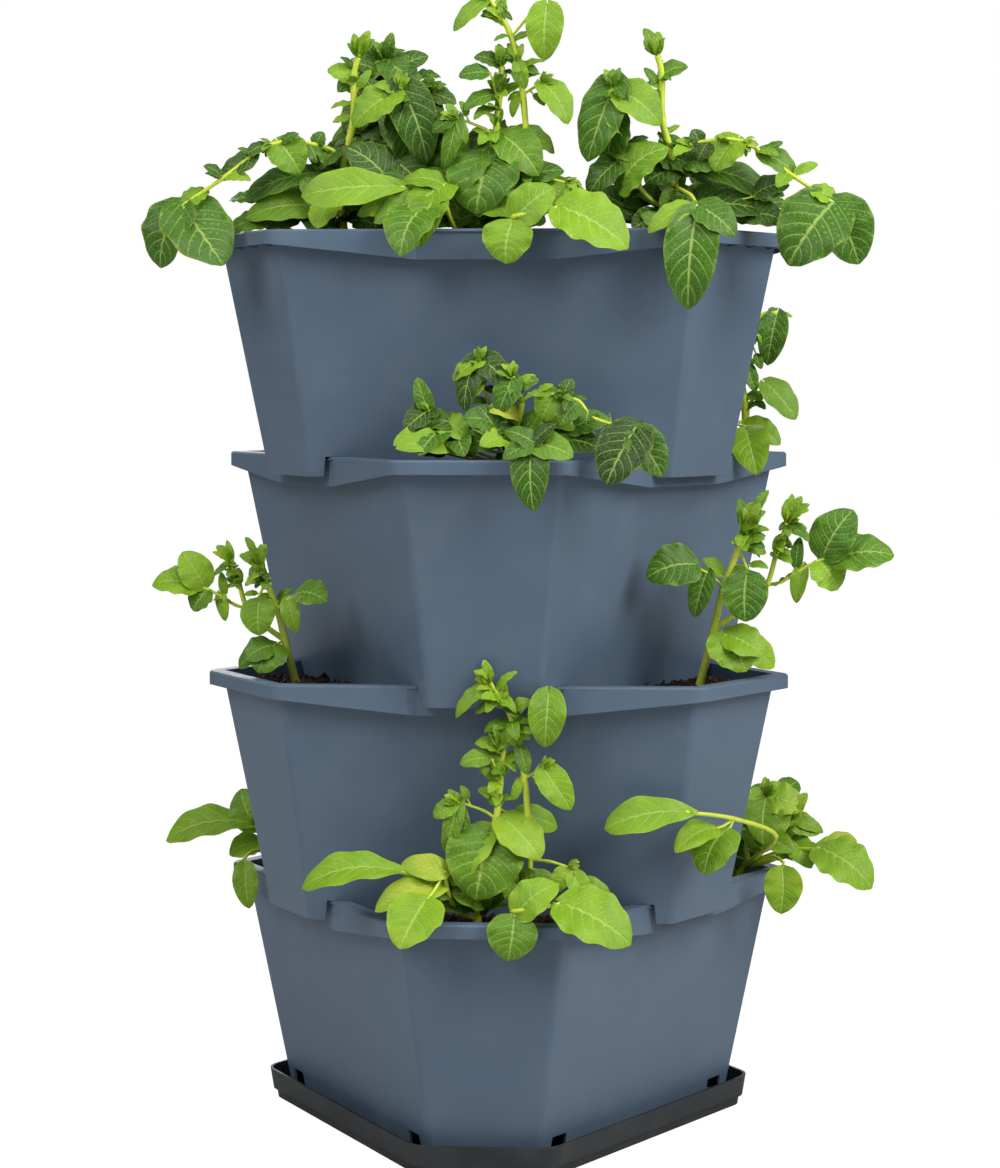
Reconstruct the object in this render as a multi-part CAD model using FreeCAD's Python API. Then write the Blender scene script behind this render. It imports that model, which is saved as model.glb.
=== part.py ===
"""Vertical planter tower: a saucer, four stacked tiers, their soil and the plants.

Millimetres, +Z up. The origin is the middle of the saucer's underside, and -Y is the
front. A tier is a triangle with cut corners: three long walls and three corner walls.
The tiers are one moulding, and each is turned half a turn from the one below, so that
its three feet stand outside the long sides of the lower rim and leave a planting
pocket open over each lower corner.
"""

import FreeCAD
import Part

import math
import os

from FreeCAD import Vector

# Driving dimensions of a tier
TIER_COUNT = 4
TIER_HEIGHT = 207.0
NEST_DEPTH = 17.0          # how far a tier reaches down past the rim below
LONG_REACH = 143.0         # centre to a long wall, at the foot
CORNER_REACH = 206.0       # centre to a corner wall, at the foot
DRAFT_ANGLE = 10.0         # degrees, the same on all six walls
WALL = 2.5
FLOOR = 2.5
FOLD_RADIUS = 8.0          # outside radius of the upright edges
LEAST_RADIUS = 1.0         # where an offset plan would lose its folds

# Driving dimensions of the rim
RIM_OVERHANG = 11.5        # from the wall's top to the skirt's outer face
FLANGE = 2.5
RIM_CHAMFER = 1.6
SKIRT_WALL = 2.3
SKIRT_AT_CORNERS = 12.0
SKIRT_AT_FEET = 25.5
FOOT_BAY_HALF = 58.0       # half width of the recess that takes the upper tier's foot
FOOT_BAY_DEPTH = 2.0
FOOT_BAY_RAMP = 8.0
GUSSET_COUNT = 4           # ribs between wall and skirt under each corner of the rim
GUSSET_WIDTH = 2.4
GUSSET_DROP = 1.8          # how far they reach down past the skirt, at the wall
GUSSET_PITCH = 34.0

# Driving dimensions of the foot, where it straddles the rim below
SLOT_FROM_FOLD = 13.5
SLOT_LEAN = 3.5            # how much further from the fold a slot starts at its top
RIM_CLEARANCE = 1.3        # between the slot's inner edge and the wall below
DRAIN_LENGTH = 16.0
DRAIN_WIDTH = 4.0
DRAIN_RING = 85.0
DRAIN_COUNT = 6

# Driving dimensions of the saucer
SAUCER_MARGIN = 20.0       # saucer rim outside the tier's foot
SAUCER_HEIGHT = 27.5
SAUCER_WALL = 2.5
SAUCER_FLOOR = 2.5
SAUCER_STEP = 3.0
SAUCER_STEP_HEIGHT = 8.5
SAUCER_DRAFT = 9.0         # degrees
STAND_HEIGHT = 12.0        # top of the ribs that the lowest tier stands on
STAND_RIB = 3.0
STAND_HUB = 26.0
STAND_PAST_WALL = 6.0

# Driving dimensions of the soil
SOIL_GAP = 0.3             # soil to the plastic around it
SOIL_BELOW_FEET = 3.0      # top of the soil slab below the walls that hang into it
SOIL_BESIDE_WALL = 3.5     # pocket soil to the wall of the tier above
SOIL_BELOW_RIM = 7.0
SOIL_SHOULDER = 8.0        # height over which a mound rounds off
SOIL_SLOPE = 9.0
MOUND_INSET = 0.5          # a mound's sides to the slab's, so that the slab's edge stays
MOUND_ROOT = 1.0           # how far a mound reaches down into the slab
TOP_SOIL_BELOW_RIM = 10.0
TOP_SOIL_SLOPE = 26.0

# Driving dimensions of the plants
STEM_SIDES = 4
STEM_TURN = (0.31, 0.95, 0.0)  # sets how the stems' corners stand
PETIOLE_WIDTH = 2.6
PETIOLE_LEAST = 2.5        # shorter than this, a leaf stalk is hidden behind its blade
LEAF_OVERLAP = 1.16        # longest blade, as a share of the way from its stem to its tip
LEAF_FOLD = 0.32           # how far a blade's edges rise, as a share of its half width
LEAF_ARCH = 0.08           # how far its middle rises, as a share of its length
LEAF_FACING = (0, -1, 0.8)
# Sections of a blade: share of its length, half width as a share of its width, thickness.
LEAF_SECTIONS = [(0.0, 0.17, 2.4), (0.36, 0.5, 1.8), (0.78, 0.34, 1.6)]

# A cutting solid runs this far past the face that it opens.
CUT_PAST = 2.0

DRAFT = math.tan(math.radians(DRAFT_ANGLE))
PITCH = TIER_HEIGHT - NEST_DEPTH
FIRST_CORNER = -90.0


def direction(angle):
    """Unit vector in plan at an angle in degrees."""
    turn = math.radians(angle)
    return Vector(math.cos(turn), math.sin(turn), 0)


def corners_of(lines, z):
    """Where each line of a closed plan meets the next; a line is (angle, distance)."""
    points = []
    for here, there in zip(lines, lines[1:] + lines[:1]):
        a, b = direction(here[0]), direction(there[0])
        cross = a.x * b.y - a.y * b.x
        x = (here[1] * b.y - there[1] * a.y) / cross
        y = (there[1] * a.x - here[1] * b.x) / cross
        points.append(Vector(x, y, z))
    return points


def closed(points):
    """Wire through the points and back to the first."""
    return Part.makePolygon(points + points[:1])


def plan(lines, z, radius=0.0):
    """Closed wire of a plan given by its lines, with rounded corners if asked."""
    points = corners_of(lines, z)
    if radius <= 0.0:
        return closed(points)
    edges = []
    last = None
    for i, corner in enumerate(points):
        back = (points[i - 1] - corner).normalize()
        on = (points[(i + 1) % len(points)] - corner).normalize()
        half = back.getAngle(on) / 2
        start = corner + back * (radius / math.tan(half))
        end = corner + on * (radius / math.tan(half))
        inward = (back + on).normalize()
        middle = corner + inward * (radius / math.sin(half) - radius)
        if last is not None:
            edges.append(Part.LineSegment(last, start).toShape())
        else:
            first = start
        edges.append(Part.Arc(start, middle, end).toShape())
        last = end
    edges.append(Part.LineSegment(last, first).toShape())
    return Part.Wire(edges)


def six_sides(corner_angle, long_reach, corner_reach):
    """Lines of the cut-cornered triangle whose first corner faces corner_angle."""
    reach = (corner_reach, long_reach)
    return [(corner_angle + 60 * i, reach[i % 2]) for i in range(6)]


def wall_lines(corner_angle, z, out=0.0):
    """The tier's outer face at height z over its foot, moved outward by out."""
    grown = DRAFT * z + out
    return six_sides(corner_angle, LONG_REACH + grown, CORNER_REACH + grown)


def wall_plan(corner_angle, z, out=0.0):
    return plan(wall_lines(corner_angle, z, out), z, max(FOLD_RADIUS + out, LEAST_RADIUS))


def loft(low, high):
    """Solid between two wires with matching edges: flat walls, and folds round arcs."""
    faces = [Part.Face(low), Part.Face(high)]
    for a, b in zip(low.Edges, high.Edges):
        if isinstance(a.Curve, Part.Line):
            start, end = a.Vertexes[0].Point, a.Vertexes[1].Point
            over_start, over_end = b.Vertexes[0].Point, b.Vertexes[1].Point
            faces.append(Part.Face(closed([start, end, over_end, over_start])))
        else:
            faces.append(Part.makeRuledSurface(a, b))
    shell = Part.makeShell(faces)
    shell.sewShape()
    solid = Part.Solid(shell)
    return solid if solid.Volume > 0 else solid.reversed()


def prism(wire, height):
    return Part.Face(wire).extrude(Vector(0, 0, height))


def side_block(angle, reach, outline, thickness):
    """Solid over an outline drawn on a side of the plan, as (sideways, height) points.

    The outline stands at the distance reach along the angle, and the solid runs from
    there towards the middle by the thickness.
    """
    out = direction(angle)
    side = direction(angle + 90)
    points = [out * reach + side * s + Vector(0, 0, z) for s, z in outline]
    return Part.Face(closed(points)).extrude(out * -thickness)


def cuboid(angle, near, far, half_width, low, high):
    """Box that runs along an angle in plan, from near to far."""
    outline = [(-half_width, low), (half_width, low), (half_width, high), (-half_width, high)]
    return side_block(angle, far, outline, far - near)


def fold_of_long_side(z, out=0.0):
    """Half length of a long wall at height z, from its middle to the sharp fold."""
    long_reach = LONG_REACH + DRAFT * z + out
    corner_reach = CORNER_REACH + DRAFT * z + out
    return (2 * corner_reach - long_reach) / math.sqrt(3)


def bay_plan(angle, reach, half, z):
    """Plan of a foot bay, open to the outside: wide at reach, narrower behind it."""
    out, side = direction(angle), direction(angle + 90)
    mouth = reach + FOOT_BAY_RAMP
    slope = FOOT_BAY_RAMP / FOOT_BAY_DEPTH
    wide = half + slope * (FOOT_BAY_DEPTH + FOOT_BAY_RAMP)
    back = reach - FOOT_BAY_DEPTH
    points = [out * mouth - side * wide, out * mouth + side * wide]
    points += [out * back + side * half, out * back - side * half]
    return closed([p + Vector(0, 0, z) for p in points])


def gusset(angle, far, sideways):
    """Thin rib under the flange of a corner, from inside the wall out to inside the skirt."""
    skirt_edge = TIER_HEIGHT - SKIRT_AT_CORNERS
    wall_end = skirt_edge - GUSSET_DROP
    top = TIER_HEIGHT - FLANGE / 2
    middle_of_wall = CORNER_REACH - WALL / 2
    outline = [(middle_of_wall + DRAFT * wall_end, wall_end), (far, skirt_edge)]
    outline += [(far, top), (middle_of_wall + DRAFT * top, top)]
    out, side = direction(angle), direction(angle + 90)
    start = side * (sideways - GUSSET_WIDTH / 2)
    points = [out * reach + start + Vector(0, 0, z) for reach, z in outline]
    return Part.Face(closed(points)).extrude(side * GUSSET_WIDTH)


def rim(corner_angle):
    """Flange and hanging skirt, deeper and set back where a foot comes down."""
    top = TIER_HEIGHT
    out = RIM_OVERHANG
    long_reach = LONG_REACH + DRAFT * top + out
    corner_reach = CORNER_REACH + DRAFT * top + out
    outer = six_sides(corner_angle, long_reach, corner_reach)
    inner = six_sides(corner_angle, long_reach - SKIRT_WALL, corner_reach - SKIRT_WALL)
    edge = six_sides(corner_angle, long_reach - RIM_CHAMFER, corner_reach - RIM_CHAMFER)
    radius = FOLD_RADIUS + out
    low = top - SKIRT_AT_FEET
    under_flange = top - FLANGE
    depth = under_flange - low

    plate = prism(plan(outer, under_flange, radius), FLANGE - RIM_CHAMFER)
    bevel = loft(plan(outer, top - RIM_CHAMFER, radius), plan(edge, top, radius - RIM_CHAMFER))
    skirt = prism(plan(outer, low, radius), depth)
    hollow = prism(plan(inner, low, radius - SKIRT_WALL), depth)

    fold = fold_of_long_side(top, out)
    kept = [prism(plan(outer, top - SKIRT_AT_CORNERS, radius), SKIRT_AT_CORNERS)]
    for i in range(3):
        angle = corner_angle + 60 + 120 * i
        before = bay_plan(angle, long_reach, FOOT_BAY_HALF, low)
        behind = bay_plan(angle, long_reach - SKIRT_WALL, FOOT_BAY_HALF, low)
        skirt = skirt.cut(prism(before, depth))
        hollow = hollow.cut(prism(behind, depth))
        drop = [
            (-fold, top - SKIRT_AT_CORNERS),
            (-FOOT_BAY_HALF, low),
            (FOOT_BAY_HALF, low),
            (fold, top - SKIRT_AT_CORNERS),
        ]
        kept.append(side_block(angle, long_reach, drop, RIM_OVERHANG))
    skirt = skirt.cut(hollow).common(kept[0].fuse(kept[1:]))
    gussets = []
    for i in range(3):
        for n in range(GUSSET_COUNT):
            sideways = (n - (GUSSET_COUNT - 1) / 2) * GUSSET_PITCH
            far = corner_reach - SKIRT_WALL / 2
            gussets.append(gusset(corner_angle + 120 * i, far, sideways))
    return plate.fuse([bevel, skirt] + gussets)


def slot_ends():
    """Where a foot slot starts and ends along the long wall, from the fold.

    The slot lets the rim of the tier below pass through the wall. The inner face of the
    tier below crosses the wall where the two plans meet at 60 degrees.
    """
    wall_inside = LONG_REACH + DRAFT * PITCH - WALL
    crossing = (CORNER_REACH - wall_inside) / math.cos(math.radians(30))
    return SLOT_FROM_FOLD, crossing + RIM_CLEARANCE


def foot_slots(corner_angle):
    """Six openings up from the foot of the long walls, parallel to the folds."""
    start, end = slot_ends()
    lean = (fold_of_long_side(NEST_DEPTH) - fold_of_long_side(0)) / NEST_DEPTH
    slots = []
    for i in range(3):
        for hand in (-1, 1):
            fold = fold_of_long_side(0)
            outline = [
                (hand * (fold - start - lean * CUT_PAST), -CUT_PAST),
                (hand * (fold - start - SLOT_LEAN + lean * NEST_DEPTH), NEST_DEPTH),
                (hand * (fold - end + lean * NEST_DEPTH), NEST_DEPTH),
                (hand * (fold - end - lean * CUT_PAST), -CUT_PAST),
            ]
            angle = corner_angle + 60 + 120 * i
            reach = LONG_REACH + DRAFT * NEST_DEPTH + WALL
            slots.append(side_block(angle, reach, outline, 4 * WALL))
    return slots


def floor_drains():
    """Slots in the floor that let water on to the tier below, and one in the middle."""
    low, high = NEST_DEPTH - CUT_PAST, NEST_DEPTH + FLOOR + CUT_PAST
    half = DRAIN_WIDTH / 2
    drains = [cuboid(0, -DRAIN_LENGTH / 2, DRAIN_LENGTH / 2, half, low, high)]
    for i in range(DRAIN_COUNT):
        angle = (i + 0.5) * 360 / DRAIN_COUNT
        near = DRAIN_RING - DRAIN_LENGTH / 2
        drains.append(cuboid(angle, near, near + DRAIN_LENGTH, half, low, high))
    return drains


def tier(number):
    """One tier, standing on its foot at z = 0 until it is lifted into place."""
    turn = corner_angle_of(number)
    shell = loft(wall_plan(turn, 0), wall_plan(turn, TIER_HEIGHT))
    floor_top = NEST_DEPTH + FLOOR
    above = loft(wall_plan(turn, floor_top, -WALL), wall_plan(turn, TIER_HEIGHT + CUT_PAST, -WALL))
    below = loft(wall_plan(turn, -CUT_PAST, -WALL), wall_plan(turn, NEST_DEPTH, -WALL))
    shell = shell.cut(below).fuse(rim(turn)).cut(above)
    shell = shell.cut(foot_slots(turn) + floor_drains())
    return shell.removeSplitter()


def corner_angle_of(number):
    """Angle of a tier's first corner: each tier is turned half a turn."""
    return FIRST_CORNER + 180 * ((number - 1) % 2)


def foot_level(number):
    """Height of a tier's foot over the ground."""
    return STAND_HEIGHT + PITCH * (number - 1)


def saucer():
    """Tray with a stepped wall, and ribs that hold the lowest tier above the water."""
    turn = corner_angle_of(1)
    lean = math.tan(math.radians(SAUCER_DRAFT))
    step = SAUCER_STEP_HEIGHT
    rim_out = SAUCER_MARGIN
    step_out = rim_out - lean * (SAUCER_HEIGHT - step)
    lower_out = step_out - SAUCER_STEP
    foot_out = lower_out - lean * step

    def ring(z, out):
        lines = six_sides(turn, LONG_REACH + out, CORNER_REACH + out)
        return plan(lines, z, FOLD_RADIUS + out)

    outside = loft(ring(0, foot_out), ring(step, lower_out))
    outside = outside.fuse(loft(ring(step, step_out), ring(SAUCER_HEIGHT, rim_out)))
    ledge = step + SAUCER_FLOOR
    wall = SAUCER_WALL
    inner_floor = ring(SAUCER_FLOOR, foot_out + lean * SAUCER_FLOOR - wall)
    under_ledge = ring(ledge, lower_out + lean * SAUCER_FLOOR - wall)
    over_ledge = ring(ledge, step_out + lean * SAUCER_FLOOR - wall)
    brim = ring(SAUCER_HEIGHT + CUT_PAST, rim_out + lean * CUT_PAST - wall)
    tray = outside.cut([loft(inner_floor, under_ledge), loft(over_ledge, brim)])

    ribs = []
    half = STAND_RIB / 2
    bottom = SAUCER_FLOOR / 2
    for i in range(6):
        reach = (CORNER_REACH, LONG_REACH)[i % 2] + STAND_PAST_WALL
        ribs.append(cuboid(turn + 60 * i, STAND_HUB - half, reach, half, bottom, STAND_HEIGHT))
    hub_lines = [(turn + 60 * i, STAND_HUB) for i in range(6)]
    hole_lines = [(turn + 60 * i, STAND_HUB - STAND_RIB) for i in range(6)]
    hub = prism(plan(hub_lines, bottom), STAND_HEIGHT - bottom)
    hub = hub.cut(prism(plan(hole_lines, SAUCER_FLOOR), STAND_HEIGHT - bottom))
    return tray.fuse(ribs + [hub]).removeSplitter()


def soil_top_of(number):
    """Height of the soil's top over its tier's foot."""
    below = TOP_SOIL_BELOW_RIM if number == TIER_COUNT else SOIL_BELOW_RIM
    return TIER_HEIGHT - below


def soil(number):
    """Potting soil of one tier, heaped in the pockets that the tier above leaves open."""
    turn = corner_angle_of(number)
    inset = -WALL - SOIL_GAP
    bottom = NEST_DEPTH + FLOOR + SOIL_GAP
    slab_top = PITCH - SOIL_BELOW_FEET
    top = soil_top_of(number)
    slab = loft(wall_plan(turn, bottom, inset), wall_plan(turn, slab_top, inset))
    if number == TIER_COUNT:
        low = wall_plan(turn, slab_top, inset)
        high = plan(wall_lines(turn, top, inset - TOP_SOIL_SLOPE), top, LEAST_RADIUS)
        return slab.fuse(loft(low, high)).removeSplitter()
    shoulder = top - SOIL_SHOULDER
    mounds = []
    for i in range(3):
        angle = turn + 120 * i
        inner_wall = LONG_REACH + DRAFT * NEST_DEPTH + SOIL_BESIDE_WALL

        def pocket(z, shrink):
            long_reach = LONG_REACH + DRAFT * z + inset - shrink
            corner_reach = CORNER_REACH + DRAFT * z + inset - shrink
            lines = [(angle, corner_reach), (angle + 60, long_reach)]
            lines += [(angle + 180, -inner_wall - shrink), (angle - 60, long_reach)]
            return plan(lines, z)

        neck = pocket(shoulder, MOUND_INSET)
        sides = loft(pocket(slab_top - MOUND_ROOT, MOUND_INSET), neck)
        mounds += [sides, loft(neck, pocket(top, SOIL_SLOPE))]
    return slab.fuse(mounds).removeSplitter()


# The plants' forms. A form is drawn as (across, out, up) from the foot of its first
# stem. A stem is (parent, place along the parent, thickness at its foot, thickness at
# its end, points); a leaf is (stem, place along it, its tip's across, out and up, the
# blade's length, the blade's width). Place 1.5 is half way from a stem's second point
# to its third.

BUSHY_STEMS = [
    (None, 0, 7.0, 3.4, [(0, 0, 0), (2, 4, 25), (16, 10, 84), (20, 13, 117), (23, 15, 146)]),
    (0, 2.1, 2.6, 1.9, [(7, 14, 95), (-14, 20, 103)]),
    (0, 0.1, 4.5, 2.4, [(-14, 8, 8), (-22, 22, 26), (-25, 27, 47)]),
]
BUSHY_LEAVES = [
    (0, 2.0, 1, 34, 25, 58, 68),
    (0, 2.0, -21, 24, 35, 57, 37),
    (0, 2.3, 55, 26, 58, 46, 40),
    (0, 2.4, 67, -14, 78, 40, 24),
    (2, 3.0, -57, 82, -8, 51, 49),
    (2, 2.4, -80, 50, 20, 60, 31),
    (2, 3.0, -60, 30, 54, 38, 24),
    (2, 3.0, -142, 44, 42, 82, 38),
    (1, 2.0, -26, 24, 62, 45, 17),
    (0, 4.0, 1, 22, 154, 22, 17),
]

TALL_STEMS = [
    (None, 0, 6.0, 2.8, [(0, 0, 0), (14, 5, 38), (11, 11, 117), (1, 14, 170), (-18, 17, 202)]),
    (0, 1.2, 2.9, 1.9, [(31, 10, 53), (47, 14, 49)]),
    (0, 3.0, 2.6, 1.9, [(18, 16, 189), (31, 20, 193)]),
    (0, 2.1, 2.6, 1.9, [(26, 14, 132)]),
    (0, 0.3, 4.5, 2.4, [(4, 28, 16), (6, 56, 19), (43, 60, 26)]),
]
TALL_LEAVES = [
    (4, 2.0, 0, 68, -19, 35, 44),
    (4, 2.1, 38, 56, 44, 42, 36),
    (4, 3.0, 101, 76, -2, 66, 56),
    (1, 2.0, 65, 20, 21, 29, 20),
    (1, 2.0, 84, 14, 17, 32, 18),
    (2, 2.0, 29, 28, 151, 46, 33),
    (2, 1.2, 30, 20, 161, 26, 18),
    (3, 1.0, 50, 22, 99, 42, 28),
    (0, 4.0, -47, 22, 175, 38, 16),
]

UPRIGHT_STEMS = [
    (None, 0, 7.0, 3.4, [(0, 0, 0), (12, 4, 49), (20, 6, 84), (33, 8, 119), (39, 10, 135)]),
    (0, 1.0, 5.1, 2.9, [(40, 2, 69), (57, 2, 87), (65, 4, 114), (74, 6, 140)]),
    (1, 2.0, 3.2, 1.9, [(70, 4, 90), (98, 8, 107), (121, 10, 113)]),
    (0, 2.0, 2.6, 1.9, [(9, 16, 96), (-7, 28, 105)]),
    (0, 3.0, 2.6, 1.9, [(40, 12, 101)]),
    (0, 1.0, 2.6, 1.9, [(20, 10, 46)]),
]
UPRIGHT_LEAVES = [
    (2, 2.2, 129, 10, 152, 47, 42),
    (2, 3.0, 163, 16, 119, 50, 42),
    (2, 2.1, 117, 14, 84, 29, 36),
    (3, 2.0, -43, 44, 99, 44, 42),
    (3, 1.2, -5, 26, 61, 41, 23),
    (4, 1.0, 39, 22, 57, 41, 42),
    (5, 1.0, 54, 24, 31, 35, 36),
    (5, 1.0, 40, 26, 16, 40, 51),
    (5, 0.8, 64, 14, 18, 37, 29),
]

ARCHED_STEMS = [
    (None, 0, 7.0, 3.2, [(0, 0, 0), (0, 6, 48), (-2, 10, 74), (-10, 12, 104), (-10, 12, 139),
                         (-14, 12, 156)]),
    (0, 2.0, 3.8, 2.6, [(21, 16, 83), (58, 24, 83), (101, 30, 53), (133, 34, 31)]),
    (0, 0.5, 4.2, 2.2, [(-28, 12, 46), (-44, 16, 95), (-51, 20, 129)]),
    (2, 1.0, 2.6, 1.9, [(-42, 22, 48)]),
]
HANGING_STEMS = [
    (0, 1.0, 3.2, 2.2, [(15, 36, 38), (20, 70, 27)]),
]
ARCHED_LEAVES = [
    (2, 3.0, -74, 32, 70, 73, 41),
    (2, 3.0, -10, 28, 100, 48, 38),
    (2, 2.4, -58, 10, 67, 44, 38),
    (3, 1.0, -10, 36, 81, 52, 44),
    (1, 2.3, 104, 24, 55, 38, 23),
    (0, 1.6, 85, 8, 41, 76, 29),
    (1, 4.0, 95, 50, -18, 67, 65),
    (1, 4.0, 154, 44, -18, 57, 50),
    (0, 0.7, 83, 14, 26, 63, 32),
]
HANGING_LEAVES = [
    (4, 2.0, 14, 80, -56, 81, 47),
    (4, 1.9, 52, 80, 6, 40, 32),
    (4, 1.8, -20, 78, 8, 42, 22),
]
LIME_LEAVES = [
    (0, 1.0, -52, 42, 54, 72, 42),
    (0, 0.9, 17, 46, 12, 36, 28),
]
LIMED_LEAVES = ARCHED_LEAVES + LIME_LEAVES
OVERHUNG_STEMS = ARCHED_STEMS + HANGING_STEMS
OVERHUNG_LEAVES = ARCHED_LEAVES + HANGING_LEAVES

SLENDER_STEMS = [
    (None, 0, 7.0, 3.4, [(0, 0, 0), (3, 4, 44), (-1, 6, 77), (7, 8, 109), (16, 8, 129),
                         (31, 8, 132)]),
    (0, 1.1, 2.6, 1.9, [(22, 8, 68)]),
    (0, 0.8, 2.6, 1.9, [(-6, 16, 33), (2, 60, 31)]),
]
SLENDER_LEAVES = [
    (0, 5.0, 22, 14, 86, 48, 28),
    (0, 4.0, 23, 14, 96, 31, 17),
    (1, 1.0, 49, 16, 38, 44, 31),
    (2, 2.0, 12, 98, -8, 51, 38),
    (2, 0.6, 34, 24, 16, 38, 25),
]

BROAD_STEMS = [
    (None, 0, 6.5, 2.8, [(0, 0, 0), (8, 4, 12), (9, 8, 32), (26, 14, 74)]),
    (0, 0.6, 4.5, 2.4, [(37, 10, 18), (48, 12, 37), (48, 14, 53)]),
    (0, 2.5, 2.6, 1.9, [(8, 18, 86), (-4, 26, 97)]),
    (0, 0.8, 4.5, 2.4, [(33, 96, 50), (-5, 198, 80), (-45, 248, 92)]),
    (0, 0.7, 3.6, 2.2, [(30, 46, 24), (40, 76, 24)]),
    (0, 0.8, 3.8, 2.2, [(42, 20, 26), (74, 36, 30)]),
]
BROAD_LEAVES = [
    (3, 3.0, -112, 262, 84, 73, 36),
    (3, 2.0, -52, 254, 64, 47, 28),
    (3, 2.0, -30, 232, 39, 45, 44),
    (0, 3.0, 16, 26, 27, 54, 51),
    (0, 3.0, 60, 18, 68, 40, 36),
    (1, 3.0, 74, 18, 42, 31, 24),
    (1, 1.0, 72, 16, 31, 38, 17),
    (4, 2.0, 38, 90, -20, 40, 36),
    (5, 2.0, 121, 56, 4, 59, 54),
    (2, 2.0, -8, 34, 68, 29, 17),
]

LOW_STEMS = [
    (None, 0, 5.5, 2.6, [(0, 0, 0), (6, 6, 24), (20, 16, 44)]),
    (0, 0.7, 3.4, 2.2, [(16, 46, 24), (20, 78, 22)]),
]
LOW_LEAVES = [
    (0, 2.0, 102, 24, 36, 82, 42),
    (0, 1.2, 44, 16, 18, 29, 28),
    (0, 1.6, 0, 34, 62, 38, 33),
    (0, 2.0, 34, 8, 76, 40, 33),
    (1, 2.0, 14, 92, -20, 40, 24),
]

LUSH_STEMS = [
    (None, 0, 5.5, 2.6, [(0, 0, 0), (6, 3, 28), (11, 6, 53), (6, 8, 65), (4, 10, 75)]),
    (0, 0.2, 4.0, 2.2, [(-26, 8, 8), (-50, 10, 28), (-65, 14, 47)]),
    (0, 0.8, 4.0, 2.2, [(-10, 4, 36), (-20, 5, 66), (-23, 8, 88)]),
    (0, 2.0, 3.0, 2.2, [(20, 14, 61), (39, 22, 60), (59, 28, 55), (72, 34, 41), (105, 42, 32)]),
    (0, 0.2, 3.4, 2.2, [(8, 30, 14), (24, 58, 21)]),
]
LUSH_LEAVES = [
    (2, 3.0, -37, 22, 50, 52, 26),
    (2, 3.0, -46, 14, 74, 30, 20),
    (2, 3.0, -1, 18, 70, 34, 26),
    (1, 3.0, -84, 26, 33, 34, 24),
    (1, 3.0, -74, 18, 74, 30, 16),
    (1, 2.4, -32, 24, 28, 38, 30),
    (1, 1.4, -84, 46, 22, 64, 28),
    (0, 1.0, -20, 36, 20, 30, 20),
    (4, 2.0, 24, 72, -32, 60, 34),
    (4, 2.0, 0, 68, 12, 34, 20),
    (4, 2.0, 56, 68, 13, 36, 28),
    (3, 2.0, 27, 26, 40, 30, 28),
    (0, 1.4, 72, 16, 32, 52, 20),
    (3, 5.0, 82, 60, -10, 56, 48),
    (3, 5.0, 128, 54, -4, 44, 34),
]

CROWDED_STEMS = [
    (None, 0, 6.5, 3.0, [(0, 0, 0), (4, 2, 42), (2, 4, 86), (-4, 6, 130), (-11, 8, 162)]),
    (0, 2.0, 3.0, 2.0, [(11, 10, 112), (27, 14, 132)]),
    (0, 1.0, 3.0, 2.0, [(-14, 8, 72), (-28, 10, 100)]),
]
CROWDED_LEAVES = [
    (0, 4.0, -52, 18, 136, 56, 34),
    (0, 4.0, 14, 22, 132, 40, 34),
    (0, 3.6, 26, 8, 166, 38, 26),
    (1, 2.0, 52, 16, 124, 34, 22),
    (0, 3.0, -38, 18, 116, 44, 34),
    (1, 1.0, 34, 26, 92, 36, 30),
    (2, 2.0, -58, 12, 92, 38, 26),
    (2, 1.2, -4, 30, 92, 42, 24),
    (2, 1.0, -30, 30, 60, 46, 40),
    (0, 1.8, 30, 22, 66, 42, 28),
    (0, 1.0, 52, 24, 52, 52, 32),
    (0, 0.8, -34, 26, 30, 44, 38),
]

# Where the plants are rooted follows the tier: its front walls, and where the lines of
# its corner walls meet, or the middle of a corner wall, to the sides.
FRONT_WALL = -LONG_REACH
FRONT_CORNER = -CORNER_REACH
CORNERS_MEET = CORNER_REACH / math.cos(math.radians(30))
CORNER_X = CORNER_REACH * math.cos(math.radians(30))
CORNER_Y = -CORNER_REACH * math.sin(math.radians(30))

# A plant is (name, tier, stems, leaves, x, y, scale, mirrored).
PLANTS = [
    ("plant_1_front", 1, BUSHY_STEMS, BUSHY_LEAVES, -7, FRONT_CORNER + 11, 1.0, False),
    ("plant_1_front_tall", 1, TALL_STEMS, TALL_LEAVES, 23, FRONT_CORNER + 8, 1.0, False),
    ("plant_1_left", 1, LOW_STEMS, LOW_LEAVES, 26 - CORNERS_MEET, 62, 1.0, True),
    ("plant_1_right", 1, BROAD_STEMS, BROAD_LEAVES, CORNERS_MEET - 26, 62, 1.0, False),
    ("plant_2_left", 2, UPRIGHT_STEMS, UPRIGHT_LEAVES, 6 - CORNER_X, CORNER_Y + 5, 0.75, True),
    ("plant_2_right", 2, UPRIGHT_STEMS, UPRIGHT_LEAVES, CORNER_X - 1, CORNER_Y + 5, 1.0, False),
    ("plant_3_front", 3, LUSH_STEMS, LUSH_LEAVES, 20, FRONT_CORNER + 1, 1.0, False),
    ("plant_3_right", 3, SLENDER_STEMS, SLENDER_LEAVES, CORNERS_MEET - 24, 62, 1.0, False),
    ("plant_4_left", 4, ARCHED_STEMS, LIMED_LEAVES, -126, FRONT_WALL + 18, 1.0, True),
    ("plant_4_crowded", 4, CROWDED_STEMS, CROWDED_LEAVES, -86, FRONT_WALL + 83, 1.0, False),
    ("plant_4_centre", 4, BUSHY_STEMS, BUSHY_LEAVES, -12, FRONT_WALL + 1, 1.0, False),
    ("plant_4_centre_tall", 4, TALL_STEMS, TALL_LEAVES, 18, FRONT_WALL - 2, 1.0, False),
    ("plant_4_right", 4, OVERHUNG_STEMS, OVERHUNG_LEAVES, 154, FRONT_WALL + 18, 1.0, False),
]


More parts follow.
